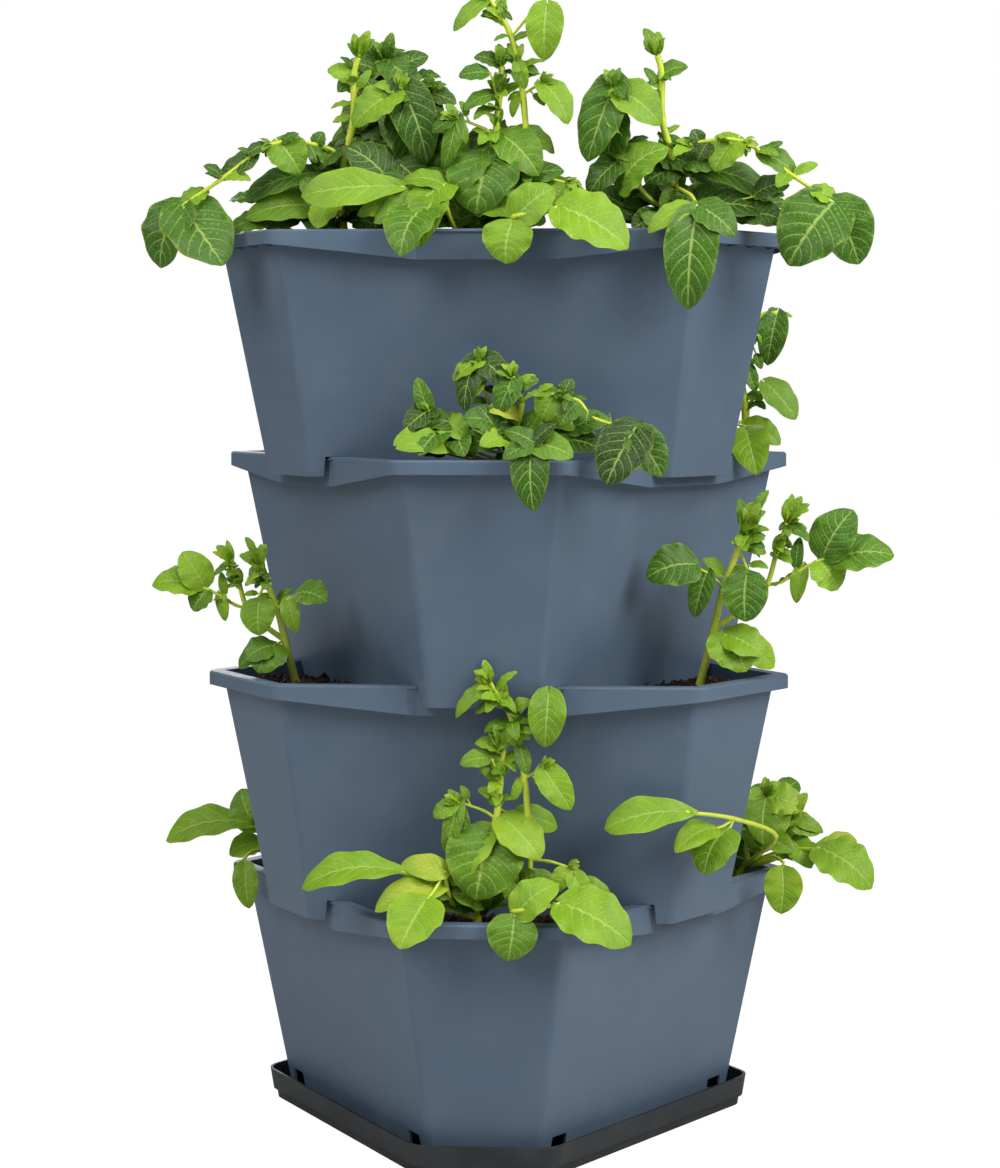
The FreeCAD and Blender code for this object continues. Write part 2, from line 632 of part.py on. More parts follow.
def between(points, place):
    """Point at a place along a row of points."""
    i = min(int(place), len(points) - 2)
    return points[i] + (points[i + 1] - points[i]) * (place - i)


def skin(rings, tip=None):
    """Solid with flat facets through rings of as many points each, closed or to a tip."""
    faces = [Part.Face(closed(rings[0]))]
    for low, high in zip(rings, rings[1:]):
        for i, a in enumerate(low):
            b, c, d = low[i - 1], high[i - 1], high[i]
            faces += [Part.Face(closed([a, b, c])), Part.Face(closed([a, c, d]))]
    last = rings[-1]
    if tip is None:
        faces.append(Part.Face(closed(last)))
    else:
        faces += [Part.Face(closed([last[i - 1], a, tip])) for i, a in enumerate(last)]
    solid = Part.Solid(Part.makeShell(faces))
    return solid if solid.Volume > 0 else solid.reversed()


def stem_solid(points, thick, thin):
    """Tapered stem through the points, level at its foot."""
    rings = []
    for i, p in enumerate(points):
        before = points[max(i - 1, 0)]
        after = points[min(i + 1, len(points) - 1)]
        along = Vector(0, 0, 1) if i == 0 and p.z == 0 else (after - before).normalize()
        side = along.cross(Vector(STEM_TURN)).normalize()
        other = along.cross(side)
        radius = (thick + (thin - thick) * i / (len(points) - 1)) / 2
        ring = []
        for k in range(STEM_SIDES):
            turn = 2 * math.pi * k / STEM_SIDES
            ring.append(p + side * (radius * math.cos(turn)) + other * (radius * math.sin(turn)))
        rings.append(ring)
    return skin(rings)


def leaf_solid(start, tip, length, width):
    """Stalk and folded blade, from a point on a stem to the blade's tip."""
    reach = (tip - start).Length
    length = min(length, LEAF_OVERLAP * reach)
    if reach - length < PETIOLE_LEAST:
        length = max(length, reach)
    along = (tip - start).normalize()
    side = along.cross(Vector(LEAF_FACING)).normalize()
    up = side.cross(along)
    behind = max(length - reach, 0) / length
    rings = []
    if length < reach:
        half = PETIOLE_WIDTH / 2
        rings.append([start + way * half for way in (-side, up, side, -up)])
    for share, half, thick in LEAF_SECTIONS:
        rise = 4 * LEAF_ARCH * length * (share * (1 - share) - behind * (1 - behind))
        middle = start + along * (reach - length + length * share) + up * rise
        spread = side * (half * width)
        lift = up * (half * width * LEAF_FOLD)
        keel = up * (thick / 2)
        rings.append([middle - spread + lift, middle + keel, middle + spread + lift, middle - keel])
    return skin(rings, tip)


def grown(stems, leaves, scale, mirrored):
    """Stems as rows of points, and leaves as (start, tip, length, width), all placed."""
    hand = -1 if mirrored else 1

    def placed(point):
        return Vector(hand * scale * point[0], -point[1], scale * point[2])

    rows = []
    for parent, place, thick, thin, points in stems:
        row = [placed(p) for p in points]
        if parent is not None:
            row.insert(0, between(rows[parent][0], place))
        rows.append((row, thick, thin))
    blades = []
    for stem, place, across, out, up, length, width in leaves:
        start = between(rows[stem][0], place)
        blades.append((start, placed((across, out, up)), scale * length, scale * width))
    return rows, blades


def plant(stems, leaves, scale, mirrored):
    """One plant as a single solid, rooted at its own origin."""
    rows, blades = grown(stems, leaves, scale, mirrored)
    solids = [stem_solid(*row) for row in rows] + [leaf_solid(*blade) for blade in blades]
    return solids[0].fuse(solids[1:]).removeSplitter()


os.makedirs("parts", exist_ok=True)


def save(name, shape, number=0):
    """Move a shape up to its tier's place and write it as one node."""
    if number:
        shape = shape.copy()
        shape.translate(Vector(0, 0, foot_level(number)))
    shape.exportStep("parts/" + name + ".step")
    print(name, len(shape.Solids), "solids", round(shape.Volume / 1000, 1), "cm3", shape.isValid())


save("saucer", saucer())
for number in range(1, TIER_COUNT + 1):
    save("tier_%d" % number, tier(number), number)
    save("soil_%d" % number, soil(number), number)
for name, number, stems, leaves, x, y, scale, mirrored in PLANTS:
    shape = plant(stems, leaves, scale, mirrored)
    shape.translate(Vector(x, y, soil_top_of(number)))
    save(name, shape, number)
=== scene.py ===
"""Looks for the vertical planter tower: plastic, soil, plants, light and camera.

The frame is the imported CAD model, in metres, with the front at -Y. Tiers and saucer
are shown as they are, with procedural materials. Soil and plants are rebuilt in more
detail than the CAD has, in the same places.
"""

import math
import random

import bpy
import numpy as np
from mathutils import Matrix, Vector


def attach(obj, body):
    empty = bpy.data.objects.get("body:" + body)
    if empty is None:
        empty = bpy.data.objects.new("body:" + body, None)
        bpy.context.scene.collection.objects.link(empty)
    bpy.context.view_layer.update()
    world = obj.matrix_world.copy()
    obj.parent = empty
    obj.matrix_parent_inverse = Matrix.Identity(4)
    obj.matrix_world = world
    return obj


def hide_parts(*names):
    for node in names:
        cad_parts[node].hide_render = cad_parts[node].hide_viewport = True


MM = 0.001
TIERS = 4

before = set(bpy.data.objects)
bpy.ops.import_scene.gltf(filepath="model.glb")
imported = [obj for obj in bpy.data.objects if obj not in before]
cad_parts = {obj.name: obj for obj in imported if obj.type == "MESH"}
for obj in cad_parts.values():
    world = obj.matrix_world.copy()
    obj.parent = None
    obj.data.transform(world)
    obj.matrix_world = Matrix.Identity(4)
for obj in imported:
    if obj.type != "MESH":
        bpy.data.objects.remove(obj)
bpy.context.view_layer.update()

# Plan of a tier, as in the CAD: six lines at these distances from the middle, in mm
LONG_REACH = 143.0
CORNER_REACH = 206.0
DRAFT = math.tan(math.radians(10.0))
WALL = 2.5
PITCH = 190.0
STAND_HEIGHT = 12.0
SOIL_GAP = 0.3
SOIL_FOOT = 20.0
SLAB_TOP = 187.0           # under the feet of the tier above
POCKET_TOP = 200.0
POCKET_START = 149.5
TOP_SOIL = 197.0
TOP_SLOPE = 26.0

# Camera, fitted to the tiers' edges in the photo: degrees, metres, and mm for the lens
CAMERA_TURN = 4.07
CAMERA_AIM = 4.11
CAMERA_REACH = 2.721
CAMERA_HEIGHT = 0.664
CAMERA_DOWN = 3.83
LENS = 109.7
SENSOR = 36.0


def rgb(r, g, b):
    """Linear colour from the 0 to 255 values seen on a screen."""
    out = []
    for c in (r / 255, g / 255, b / 255):
        out.append(c / 12.92 if c <= 0.04045 else ((c + 0.055) / 1.055) ** 2.4)
    return (*out, 1.0)


# The plants' forms, as in the CAD: (across, out, up) in mm from the foot of the first
# stem. A stem is (parent, place along it, thickness at its foot, at its end, points); a
# leaf is (stem, place along it, tip across, out, up, blade length, blade width).

BUSHY_STEMS = [
    (None, 0, 7.0, 3.4, [(0, 0, 0), (2, 4, 25), (16, 10, 84), (20, 13, 117), (23, 15, 146)]),
    (0, 2.1, 2.6, 1.9, [(7, 14, 95), (-14, 20, 103)]),
    (0, 0.1, 4.5, 2.4, [(-14, 8, 8), (-22, 22, 26), (-25, 27, 47)]),
    (0, 3.0, 2.2, 1.6, [(14, 22, 140)]),
]
BUSHY_LEAVES = [
    (0, 2.0, 1, 34, 25, 58, 68), (0, 2.0, -21, 24, 35, 57, 37), (0, 2.3, 55, 26, 58, 46, 40),
    (0, 2.4, 67, -14, 78, 40, 24), (2, 3.0, -57, 82, -8, 51, 49), (2, 2.4, -80, 50, 20, 60, 31),
    (2, 3.0, -60, 30, 54, 38, 24), (2, 3.0, -142, 44, 42, 82, 38), (1, 2.0, -26, 24, 62, 45, 17),
    (0, 4.0, 1, 22, 154, 22, 17), (1, 2.0, -35, 22, 91, 22, 18), (3, 1.0, -12, 28, 137, 24, 18),
    (1, 2.0, -5, 22, 82, 21, 10), (1, 1.5, -12, 20, 117, 13, 8),
]

# The leaves that BUSHIER and BROADER add are too small for the CAD's plants
BUSHIER_LEAVES = BUSHY_LEAVES + [
    (2, 3.0, -54, 50, 26, 50, 36), (2, 3.0, -42, 70, -3, 52, 34), (0, 1.0, 34, 44, 24, 40, 28),
    (0, 1.6, 40, 22, 34, 34, 24), (0, 3.2, -8, 26, 112, 30, 18), (2, 2.0, -96, 36, 26, 44, 26),
]

TALL_STEMS = [
    (None, 0, 6.0, 2.8, [(0, 0, 0), (14, 5, 38), (11, 11, 117), (1, 14, 170), (-18, 17, 202)]),
    (0, 1.2, 2.9, 1.9, [(31, 10, 53), (47, 14, 49)]),
    (0, 3.0, 2.6, 1.9, [(18, 16, 189), (31, 20, 193)]),
    (0, 2.1, 2.6, 1.9, [(26, 14, 132)]),
    (0, 0.3, 4.5, 2.4, [(4, 28, 16), (6, 56, 19), (43, 60, 26)]),
]
TALL_LEAVES = [
    (4, 2.0, 0, 68, -19, 35, 44), (4, 2.1, 38, 56, 44, 42, 36), (4, 3.0, 101, 76, -2, 66, 56),
    (1, 2.0, 65, 20, 21, 29, 20), (1, 2.0, 84, 14, 17, 32, 18), (2, 2.0, 29, 28, 151, 46, 33),
    (2, 1.2, 30, 20, 161, 26, 18), (3, 1.0, 50, 22, 99, 42, 28), (0, 4.0, -47, 22, 175, 38, 16),
    (1, 2.0, 37, 18, 29, 22, 18), (3, 0.4, 29, 16, 113, 13, 9), (0, 2.2, 1, 12, 104, 19, 9),
    (0, 2.9, 13, 18, 127, 24, 14), (0, 4.0, -27, 18, 208, 11, 12), (4, 0.6, -4, 24, 38, 15, 15),
]

UPRIGHT_STEMS = [
    (None, 0, 7.0, 3.4, [(0, 0, 0), (12, 4, 49), (20, 6, 84), (33, 8, 119), (39, 10, 135)]),
    (0, 1.0, 5.1, 2.9, [(40, 2, 69), (57, 2, 87), (65, 4, 114), (74, 6, 140)]),
    (1, 2.0, 3.2, 1.9, [(70, 4, 90), (98, 8, 107), (121, 10, 113)]),
    (0, 2.0, 2.6, 1.9, [(9, 16, 96), (-7, 28, 105)]),
    (0, 3.0, 2.6, 1.9, [(40, 12, 101)]),
    (0, 1.0, 2.6, 1.9, [(20, 10, 46)]),
]
UPRIGHT_LEAVES = [
    (2, 2.2, 129, 10, 152, 47, 42), (2, 3.0, 163, 16, 119, 50, 42), (2, 2.1, 117, 14, 84, 29, 36),
    (3, 2.0, -43, 44, 99, 44, 42), (3, 1.2, -5, 26, 61, 41, 23), (4, 1.0, 39, 22, 57, 41, 42),
    (5, 1.0, 54, 24, 31, 35, 36), (5, 1.0, 40, 26, 16, 40, 51), (5, 0.8, 64, 14, 18, 37, 29),
    (2, 1.6, 81, 12, 73, 35, 16), (2, 1.4, 85, 6, 128, 25, 12), (0, 4.0, 33, 12, 161, 26, 12),
    (0, 4.0, 50, 14, 152, 21, 15), (0, 4.0, 50, 16, 121, 18, 16), (0, 4.0, 57, 6, 169, 21, 10),
    (1, 4.0, 78, 8, 165, 25, 10), (1, 4.0, 93, 12, 125, 19, 10), (1, 4.0, 67, 8, 134, 10, 6),
    (0, 2.6, 58, 12, 103, 15, 9), (0, 2.4, 42, 14, 100, 19, 10), (0, 2.2, 3, 12, 110, 21, 14),
]

ARCHED_STEMS = [
    (None, 0, 7.0, 3.2,
     [(0, 0, 0), (0, 6, 48), (-2, 10, 74), (-10, 12, 104), (-10, 12, 139), (-14, 12, 156)]),
    (0, 2.0, 3.8, 2.6, [(21, 16, 83), (58, 24, 83), (101, 30, 53), (133, 34, 31)]),
    (0, 0.5, 4.2, 2.2, [(-28, 12, 46), (-44, 16, 95), (-51, 20, 129)]),
    (2, 1.0, 2.6, 1.9, [(-42, 22, 48)]),
]
HANGING_STEMS = [
    (0, 1.0, 3.2, 2.2, [(15, 36, 38), (20, 70, 27)]),
]
ARCHED_LEAVES = [
    (2, 3.0, -74, 32, 70, 73, 41), (2, 3.0, -10, 28, 100, 48, 38), (2, 2.4, -58, 10, 67, 44, 38),
    (3, 1.0, -10, 36, 81, 52, 44), (1, 2.3, 104, 24, 55, 38, 23), (0, 1.6, 85, 8, 41, 76, 29),
    (1, 4.0, 95, 50, -18, 67, 65), (1, 4.0, 154, 44, -18, 57, 50), (0, 0.7, 83, 14, 26, 63, 32),
    (2, 1.6, -73, 18, 41, 41, 32), (0, 4.0, 11, 16, 147, 25, 20), (1, 1.8, 33, 28, 60, 35, 36),
    (1, 4.0, 112, 26, 47, 25, 22), (0, 0.5, -34, 22, 12, 25, 26), (0, 5.0, -19, 12, 163, 12, 6),
    (0, 3.6, -25, 12, 146, 18, 9), (1, 1.0, 16, 18, 94, 13, 15), (1, 1.2, 20, 20, 68, 18, 18),
]
HANGING_LEAVES = [
    (4, 2.0, 14, 80, -56, 81, 47), (4, 1.9, 52, 80, 6, 40, 32), (4, 1.8, -20, 78, 8, 42, 22),
]
LIME_LEAVES = [
    (0, 1.0, -52, 42, 54, 72, 42), (0, 0.9, 17, 46, 12, 36, 28),
]
LIMED_LEAVES = ARCHED_LEAVES + LIME_LEAVES
OVERHUNG_STEMS = ARCHED_STEMS + HANGING_STEMS
OVERHUNG_LEAVES = ARCHED_LEAVES + HANGING_LEAVES

SLENDER_STEMS = [
    (None, 0, 7.0, 3.4,
     [(0, 0, 0), (3, 4, 44), (-1, 6, 77), (7, 8, 109), (16, 8, 129), (31, 8, 132)]),
    (0, 1.1, 2.6, 1.9, [(22, 8, 68)]),
    (0, 0.8, 2.6, 1.9, [(-6, 16, 33), (2, 60, 31)]),
]
SLENDER_LEAVES = [
    (0, 5.0, 22, 14, 86, 48, 28), (0, 4.0, 23, 14, 96, 31, 17), (1, 1.0, 49, 16, 38, 44, 31),
    (2, 2.0, 12, 98, -8, 51, 38), (2, 0.6, 34, 24, 16, 38, 25), (0, 3.0, 17, 12, 82, 14, 9),
    (0, 2.4, 12, 12, 62, 26, 15), (1, 0.3, 21, 10, 46, 12, 9), (0, 1.4, -8, 10, 36, 19, 9),
]

BROAD_STEMS = [
    (None, 0, 6.5, 2.8, [(0, 0, 0), (8, 4, 12), (9, 8, 32), (26, 14, 74)]),
    (0, 0.6, 4.5, 2.4, [(37, 10, 18), (48, 12, 37), (48, 14, 53)]),
    (0, 2.5, 2.6, 1.9, [(8, 18, 86), (-4, 26, 97)]),
    (0, 0.8, 4.5, 2.4, [(33, 96, 50), (-5, 198, 80), (-45, 248, 92)]),
    (0, 0.7, 3.6, 2.2, [(30, 46, 24), (40, 76, 24)]),
    (0, 0.8, 3.8, 2.2, [(42, 20, 26), (74, 36, 30)]),
]
BROAD_LEAVES = [
    (3, 3.0, -112, 262, 84, 73, 36), (3, 2.0, -52, 254, 64, 47, 28),
    (3, 2.0, -30, 232, 39, 45, 44), (0, 3.0, 16, 26, 27, 54, 51), (0, 3.0, 60, 18, 68, 40, 36),
    (1, 3.0, 74, 18, 42, 31, 24), (1, 1.0, 72, 16, 31, 38, 17), (4, 2.0, 38, 90, -20, 40, 36),
    (5, 2.0, 121, 56, 4, 59, 54), (2, 2.0, -8, 34, 68, 29, 17),
]

BROADER_LEAVES = BROAD_LEAVES + [
    (0, 3.0, 23, 38, 36, 46, 37), (0, 2.4, -36, 26, 60, 32, 19), (0, 2.6, -4, 30, 46, 30, 22),
    (1, 2.0, 66, 36, 14, 36, 27), (0, 2.2, 50, 36, 28, 38, 27), (1, 3.0, 78, 16, 44, 28, 15),
    (1, 3.0, 62, 14, 78, 26, 15), (5, 2.0, 108, 16, 38, 34, 20),
]

LOW_STEMS = [
    (None, 0, 5.5, 2.6, [(0, 0, 0), (6, 6, 24), (20, 16, 44)]),
    (0, 0.7, 3.4, 2.2, [(16, 46, 24), (20, 78, 22)]),
]
LOW_LEAVES = [
    (0, 2.0, 102, 24, 36, 82, 42), (0, 1.2, 44, 16, 18, 29, 28), (0, 1.6, 0, 34, 62, 38, 33),
    (0, 2.0, 34, 8, 76, 40, 33), (1, 2.0, 14, 92, -20, 40, 24),
]

LUSH_STEMS = [
    (None, 0, 5.5, 2.6, [(0, 0, 0), (6, 3, 28), (11, 6, 53), (6, 8, 65), (4, 10, 75)]),
    (0, 0.2, 4.0, 2.2, [(-26, 8, 8), (-50, 10, 28), (-65, 14, 47)]),
    (0, 0.8, 4.0, 2.2, [(-10, 4, 36), (-20, 5, 66), (-23, 8, 88)]),
    (0, 2.0, 3.0, 2.2, [(20, 14, 61), (39, 22, 60), (59, 28, 55), (72, 34, 41), (105, 42, 32)]),
    (0, 0.2, 3.4, 2.2, [(8, 30, 14), (24, 58, 21)]),
]
LUSH_LEAVES = [
    (2, 3.0, -37, 22, 50, 52, 26), (2, 3.0, -46, 14, 74, 30, 20), (2, 3.0, -1, 18, 70, 34, 26),
    (1, 3.0, -84, 26, 33, 34, 24), (1, 3.0, -74, 18, 74, 30, 16), (1, 2.4, -32, 24, 28, 38, 30),
    (1, 1.4, -84, 46, 22, 64, 28), (0, 1.0, -20, 36, 20, 30, 20), (4, 2.0, 24, 72, -32, 60, 34),
    (4, 2.0, 0, 68, 12, 34, 20), (4, 2.0, 56, 68, 13, 36, 28), (3, 2.0, 27, 26, 40, 30, 28),
    (0, 1.4, 72, 16, 32, 52, 20), (3, 5.0, 82, 60, -10, 56, 48), (3, 5.0, 128, 54, -4, 44, 34),
    (0, 4.0, -8, 20, 46, 34, 24), (3, 3.6, 66, 36, 38, 28, 22), (1, 2.6, -58, 26, 44, 24, 14),
    (0, 1.6, -14, 20, 50, 30, 20), (1, 2.0, -92, 32, 20, 34, 20), (1, 2.2, -70, 44, 14, 40, 26),
    (0, 0.8, 4, 44, 10, 34, 16), (3, 2.4, 53, 26, 73, 26, 16), (3, 3.0, 44, 40, 36, 24, 18),
    (3, 4.4, 86, 36, 37, 30, 18), (4, 2.0, 3, 60, 34, 32, 20), (4, 2.0, 42, 60, 38, 28, 18),
    (0, 3.0, 24, 14, 74, 26, 16), (1, 1.8, -34, 40, 12, 36, 24),
]

CROWDED_STEMS = [
    (None, 0, 6.5, 3.0, [(0, 0, 0), (4, 2, 42), (2, 4, 86), (-4, 6, 130), (-11, 8, 162)]),
    (0, 2.0, 3.0, 2.0, [(11, 10, 112), (27, 14, 132)]),
    (0, 1.0, 3.0, 2.0, [(-14, 8, 72), (-28, 10, 100)]),
]
CROWDED_LEAVES = [
    (0, 4.0, -52, 18, 136, 56, 34), (0, 4.0, 14, 22, 132, 40, 34), (0, 3.6, 26, 8, 166, 38, 26),
    (1, 2.0, 52, 16, 124, 34, 22), (0, 3.0, -38, 18, 116, 44, 34), (1, 1.0, 34, 26, 92, 36, 30),
    (2, 2.0, -58, 12, 92, 38, 26), (2, 1.2, -4, 30, 92, 42, 24), (2, 1.0, -30, 30, 60, 46, 40),
    (0, 1.8, 30, 22, 66, 42, 28), (0, 1.0, 52, 24, 52, 52, 32), (0, 0.8, -34, 26, 30, 44, 38),
    (0, 4.0, -30, 10, 176, 22, 12), (0, 4.0, -4, 14, 184, 22, 12), (0, 3.4, 22, 18, 146, 28, 14),
    (1, 2.0, 40, 20, 106, 30, 12), (1, 0.6, -6, 24, 120, 34, 13), (0, 2.6, -30, 22, 92, 34, 15),
    (2, 0.6, 18, 34, 84, 38, 14), (2, 1.8, -50, 20, 70, 34, 16), (0, 1.5, 18, 34, 40, 34, 26),
    (0, 1.3, -26, 34, 44, 36, 28), (1, 1.4, 48, 26, 96, 26, 16), (2, 2.0, -44, 20, 122, 26, 13),
]

# Shoot tips with young leaves: (stem, place along it, size in mm).
BUSHY_BUDS = [(0, 4.0, 26), (1, 2.0, 16), (0, 3.2, 20), (0, 2.4, 16)]
LUSH_BUDS = [(0, 4.0, 16), (1, 3.0, 12), (2, 3.0, 14)]
TALL_BUDS = [(0, 4.0, 22), (1, 2.0, 14), (3, 1.0, 14), (0, 3.4, 20), (0, 2.6, 18), (0, 1.5, 14)]
UPRIGHT_BUDS = [(0, 4.0, 30), (1, 4.0, 30), (0, 3.0, 18), (1, 3.0, 20), (0, 3.6, 24)]
ARCHED_BUDS = [(0, 5.0, 26), (2, 3.0, 18), (1, 2.0, 14)]
SLENDER_BUDS = [(0, 3.0, 12)]
BROAD_BUDS = [(0, 3.0, 20), (1, 3.0, 20)]
LOW_BUDS = [(0, 2.0, 14)]
CROWDED_BUDS = [(0, 4.0, 20), (1, 2.0, 18), (2, 2.0, 18), (0, 3.0, 20), (0, 2.0, 18)]

# A plant is (node, tier, stems, leaves, buds, x, y, scale, mirrored, lowest tone, highest).
PLANTS = [
    ("plant_1_front", 1, BUSHY_STEMS, BUSHY_LEAVES, BUSHY_BUDS, -7, -195, 1.0, False, 0.45, 0.98),
    ("plant_1_front_tall", 1, TALL_STEMS, TALL_LEAVES, TALL_BUDS, 23, -198, 1.0, False, 0.45, 0.98),
    ("plant_1_left", 1, LOW_STEMS, LOW_LEAVES, LOW_BUDS, -211.9, 62, 1.0, True, 0.5, 0.9),
    ("plant_1_right", 1, BROAD_STEMS, BROADER_LEAVES, BROAD_BUDS, 211.9, 62, 1.0, False, 0.6, 0.95),
    ("plant_2_left", 2, UPRIGHT_STEMS, UPRIGHT_LEAVES, UPRIGHT_BUDS, -172.4, -98, 0.75, True, 0.25, 0.9),
    ("plant_2_right", 2, UPRIGHT_STEMS, UPRIGHT_LEAVES, UPRIGHT_BUDS, 177.4, -98, 1.0, False, 0.25, 0.9),
    ("plant_3_front", 3, LUSH_STEMS, LUSH_LEAVES, LUSH_BUDS, 20, -205, 1.0, False, -0.1, 0.85),
    ("plant_3_right", 3, SLENDER_STEMS, SLENDER_LEAVES, SLENDER_BUDS, 213.9, 62, 1.0, False, 0.3, 0.8),
    ("plant_4_left", 4, ARCHED_STEMS, LIMED_LEAVES, ARCHED_BUDS, -126, -125, 1.0, True, 0.0, 0.8),
    ("plant_4_crowded", 4, CROWDED_STEMS, CROWDED_LEAVES, CROWDED_BUDS, -86, -60, 1.0, False, 0.1, 0.6),
    ("plant_4_centre", 4, BUSHY_STEMS, BUSHIER_LEAVES, BUSHY_BUDS, -12, -142, 1.0, False, 0.2, 0.9),
    ("plant_4_centre_tall", 4, TALL_STEMS, TALL_LEAVES, TALL_BUDS, 18, -145, 1.0, False, 0.3, 0.9),
    ("plant_4_right", 4, OVERHUNG_STEMS, OVERHUNG_LEAVES, ARCHED_BUDS, 154, -125, 1.0, False, 0.0, 0.8),
]
# Leaves between a plant's drawn ones: node, how many, the lowest and highest place along
# the first stem, and the least and greatest (across, out, up) of their tips.
THICKETS = [
    ("plant_4_left", 50, 0.05, 1.2, (-70, -45, 14), (105, 22, 62)),
    ("plant_4_left", 16, 1.0, 2.4, (-70, -16, 50), (30, 20, 96)),
    ("plant_4_crowded", 34, 0.05, 1.2, (-52, -30, 16), (58, 44, 112)),
    ("plant_4_crowded", 40, 1.4, 4.0, (-48, -10, 66), (40, 30, 158)),
    ("plant_4_centre", 46, 0.05, 1.2, (-58, -75, 14), (92, 15, 66)),
    ("plant_4_centre", 18, 1.0, 2.4, (-34, -20, 50), (64, 18, 96)),
    ("plant_4_right", 50, 0.05, 1.2, (-72, -45, 14), (100, 22, 60)),
    ("plant_4_right", 14, 1.0, 2.4, (-58, -16, 50), (40, 20, 92)),
    ("plant_3_front", 26, 0.05, 1.2, (-88, -2, 12), (84, 30, 52)),
    ("plant_1_front", 14, 0.05, 1.2, (-56, -6, 14), (64, 26, 44)),
    ("plant_1_right", 12, 0.05, 1.2, (-40, -30, 14), (50, 10, 50)),
    ("plant_1_right", 14, 1.0, 3.0, (-20, -40, 34), (66, 8, 84)),
]
# Small leaves along a stem: node: (stem, lowest place, highest place, how many, size in mm).
SPRIGS = {
    "plant_1_front": [(0, 2.6, 4.0, 10, 18)],
    "plant_1_front_tall": [(0, 2.7, 4.0, 18, 20)],
    "plant_1_right": [(0, 1.0, 3.0, 12, 18), (1, 1.0, 3.0, 8, 16)],
    "plant_2_left": [(0, 2.9, 4.0, 14, 20), (1, 2.6, 4.0, 14, 18), (2, 0.6, 2.0, 3, 12)],
    "plant_2_right": [(0, 2.9, 4.0, 14, 20), (1, 2.6, 4.0, 14, 18), (2, 0.6, 2.0, 3, 12)],
    "plant_3_front": [(0, 1.0, 4.0, 8, 16), (2, 1.0, 3.0, 8, 16), (3, 0.6, 4.0, 8, 16)],
    "plant_3_right": [(0, 1.0, 5.0, 10, 16)],
    "plant_4_left": [(0, 2.0, 5.0, 10, 18), (1, 0.6, 3.0, 10, 20), (2, 1.0, 3.0, 10, 20)],
    "plant_4_crowded": [(0, 1.6, 4.0, 18, 24), (1, 0.6, 2.0, 8, 22), (2, 0.6, 2.0, 8, 22)],
    "plant_4_centre": [(0, 1.6, 4.0, 14, 20)],
    "plant_4_centre_tall": [(0, 1.2, 4.0, 22, 18)],
    "plant_4_right": [(0, 2.0, 5.0, 10, 18), (1, 0.6, 3.0, 10, 20), (2, 1.0, 3.0, 10, 20)],
}
# Leaves whose tone follows the photo and isn't left to chance: node: {leaf: tone}.
TONES = {
    "plant_1_front": {0: 0.5, 7: 0.72},
    "plant_1_front_tall": {5: 0.6},
    "plant_1_left": {0: 0.72},
    "plant_1_right": {0: 0.72, 3: 0.75, 4: 0.85, 8: 0.75, 10: 0.6, 11: 0.98},
    "plant_3_front": {7: 0.8, 8: 0.2, 18: 0.95},
    "plant_4_left": {6: 0.3, 7: 0.25, 19: 0.8},
    "plant_4_crowded": {10: 0.95},
    "plant_4_centre": {0: 0.4, 2: 0.5, 4: 0.45, 5: 0.5, 7: 0.72},
    "plant_4_right": {3: 0.6, 6: 0.3, 7: 0.35, 18: 0.3},
}

STEM, TOP, UNDER = 0, 1, 2  # a plant's materials

# Stems and stalks
STEM_FACES = 10
STEPS = 5                  # rings between two points of a stem
TAPER = 0.55               # share of the drawn taper that a round stem needs
KNOB = 0.14                # how much thicker a stem is where a leaf leaves it
STEM_TONES = (0.3, 0.7)
STALK_FACES = 6
STALK_STEPS = 4
STALK_SAG = 0.04
STALK_RADIUS = 0.6         # in mm, and what each mm of blade adds to it
STALK_GROWTH = 0.012

# Blades; pairs are the least and the greatest that chance gives
FACING = Vector((0.0, -1.0, 0.8))
FACING_OFF = 0.25
BLADE_ROWS = 20
BLADE_COLUMNS = 12
BLADE_THICKNESS = 0.5
FACE_GAP = 0.02            # between the top face and the underside at the rim
LEAF_OVERLAP = 1.16        # longest blade, as a share of the way from its stem to its tip
SPOON_LENGTH = 70.0        # blades at least this long and slender are widest near the tip
SPOON_SLENDER = 1.9
SPOON_SHIFT = 1.7
NOTCH_BACK = 0.1           # how far a blade's base reaches back beside its stalk
FOLD = (0.2, 0.4)
ARCH = (0.07, 0.13)
CURL = (0.02, 0.16)
BEND = (-0.05, 0.05)
WAVES = (2.2, 3.8)
WAVE_DEPTH = 0.045         # of the rim, as a share of the blade's width
QUILT_DEPTH = 0.05         # of the fields between the veins, likewise
SIDE_VEINS = 6.5           # on each side of the midrib
VEIN_FORWARD = 0.3
VEIN_BEND = 1.3

# Young leaves at the shoots' tips and small ones along stems; shares of a length
YOUNG_TONE = 0.78          # their palest tone, before it turns yellow
BUD_LEAVES = 10
BUD_TONES = (-0.2, 0.1)    # from a plant's palest tone
BUD_TONE_OFF = 0.15
BUD_LENGTH = (0.5, 1.0)
BUD_WIDTH = (0.35, 0.55)
BUD_BLADE = 0.86           # of the way from the stem to the tip
SPRIG_LENGTH = (0.6, 1.1)
SPRIG_WIDTH = (0.45, 0.7)
SPRIG_REACH = 1.2
THICKET_LENGTH = (22, 40)  # in mm
THICKET_WIDTH = (0.6, 0.9)
TURNED_OUT = 1.9           # 1 lays a direction along the tier above, 2 mirrors it


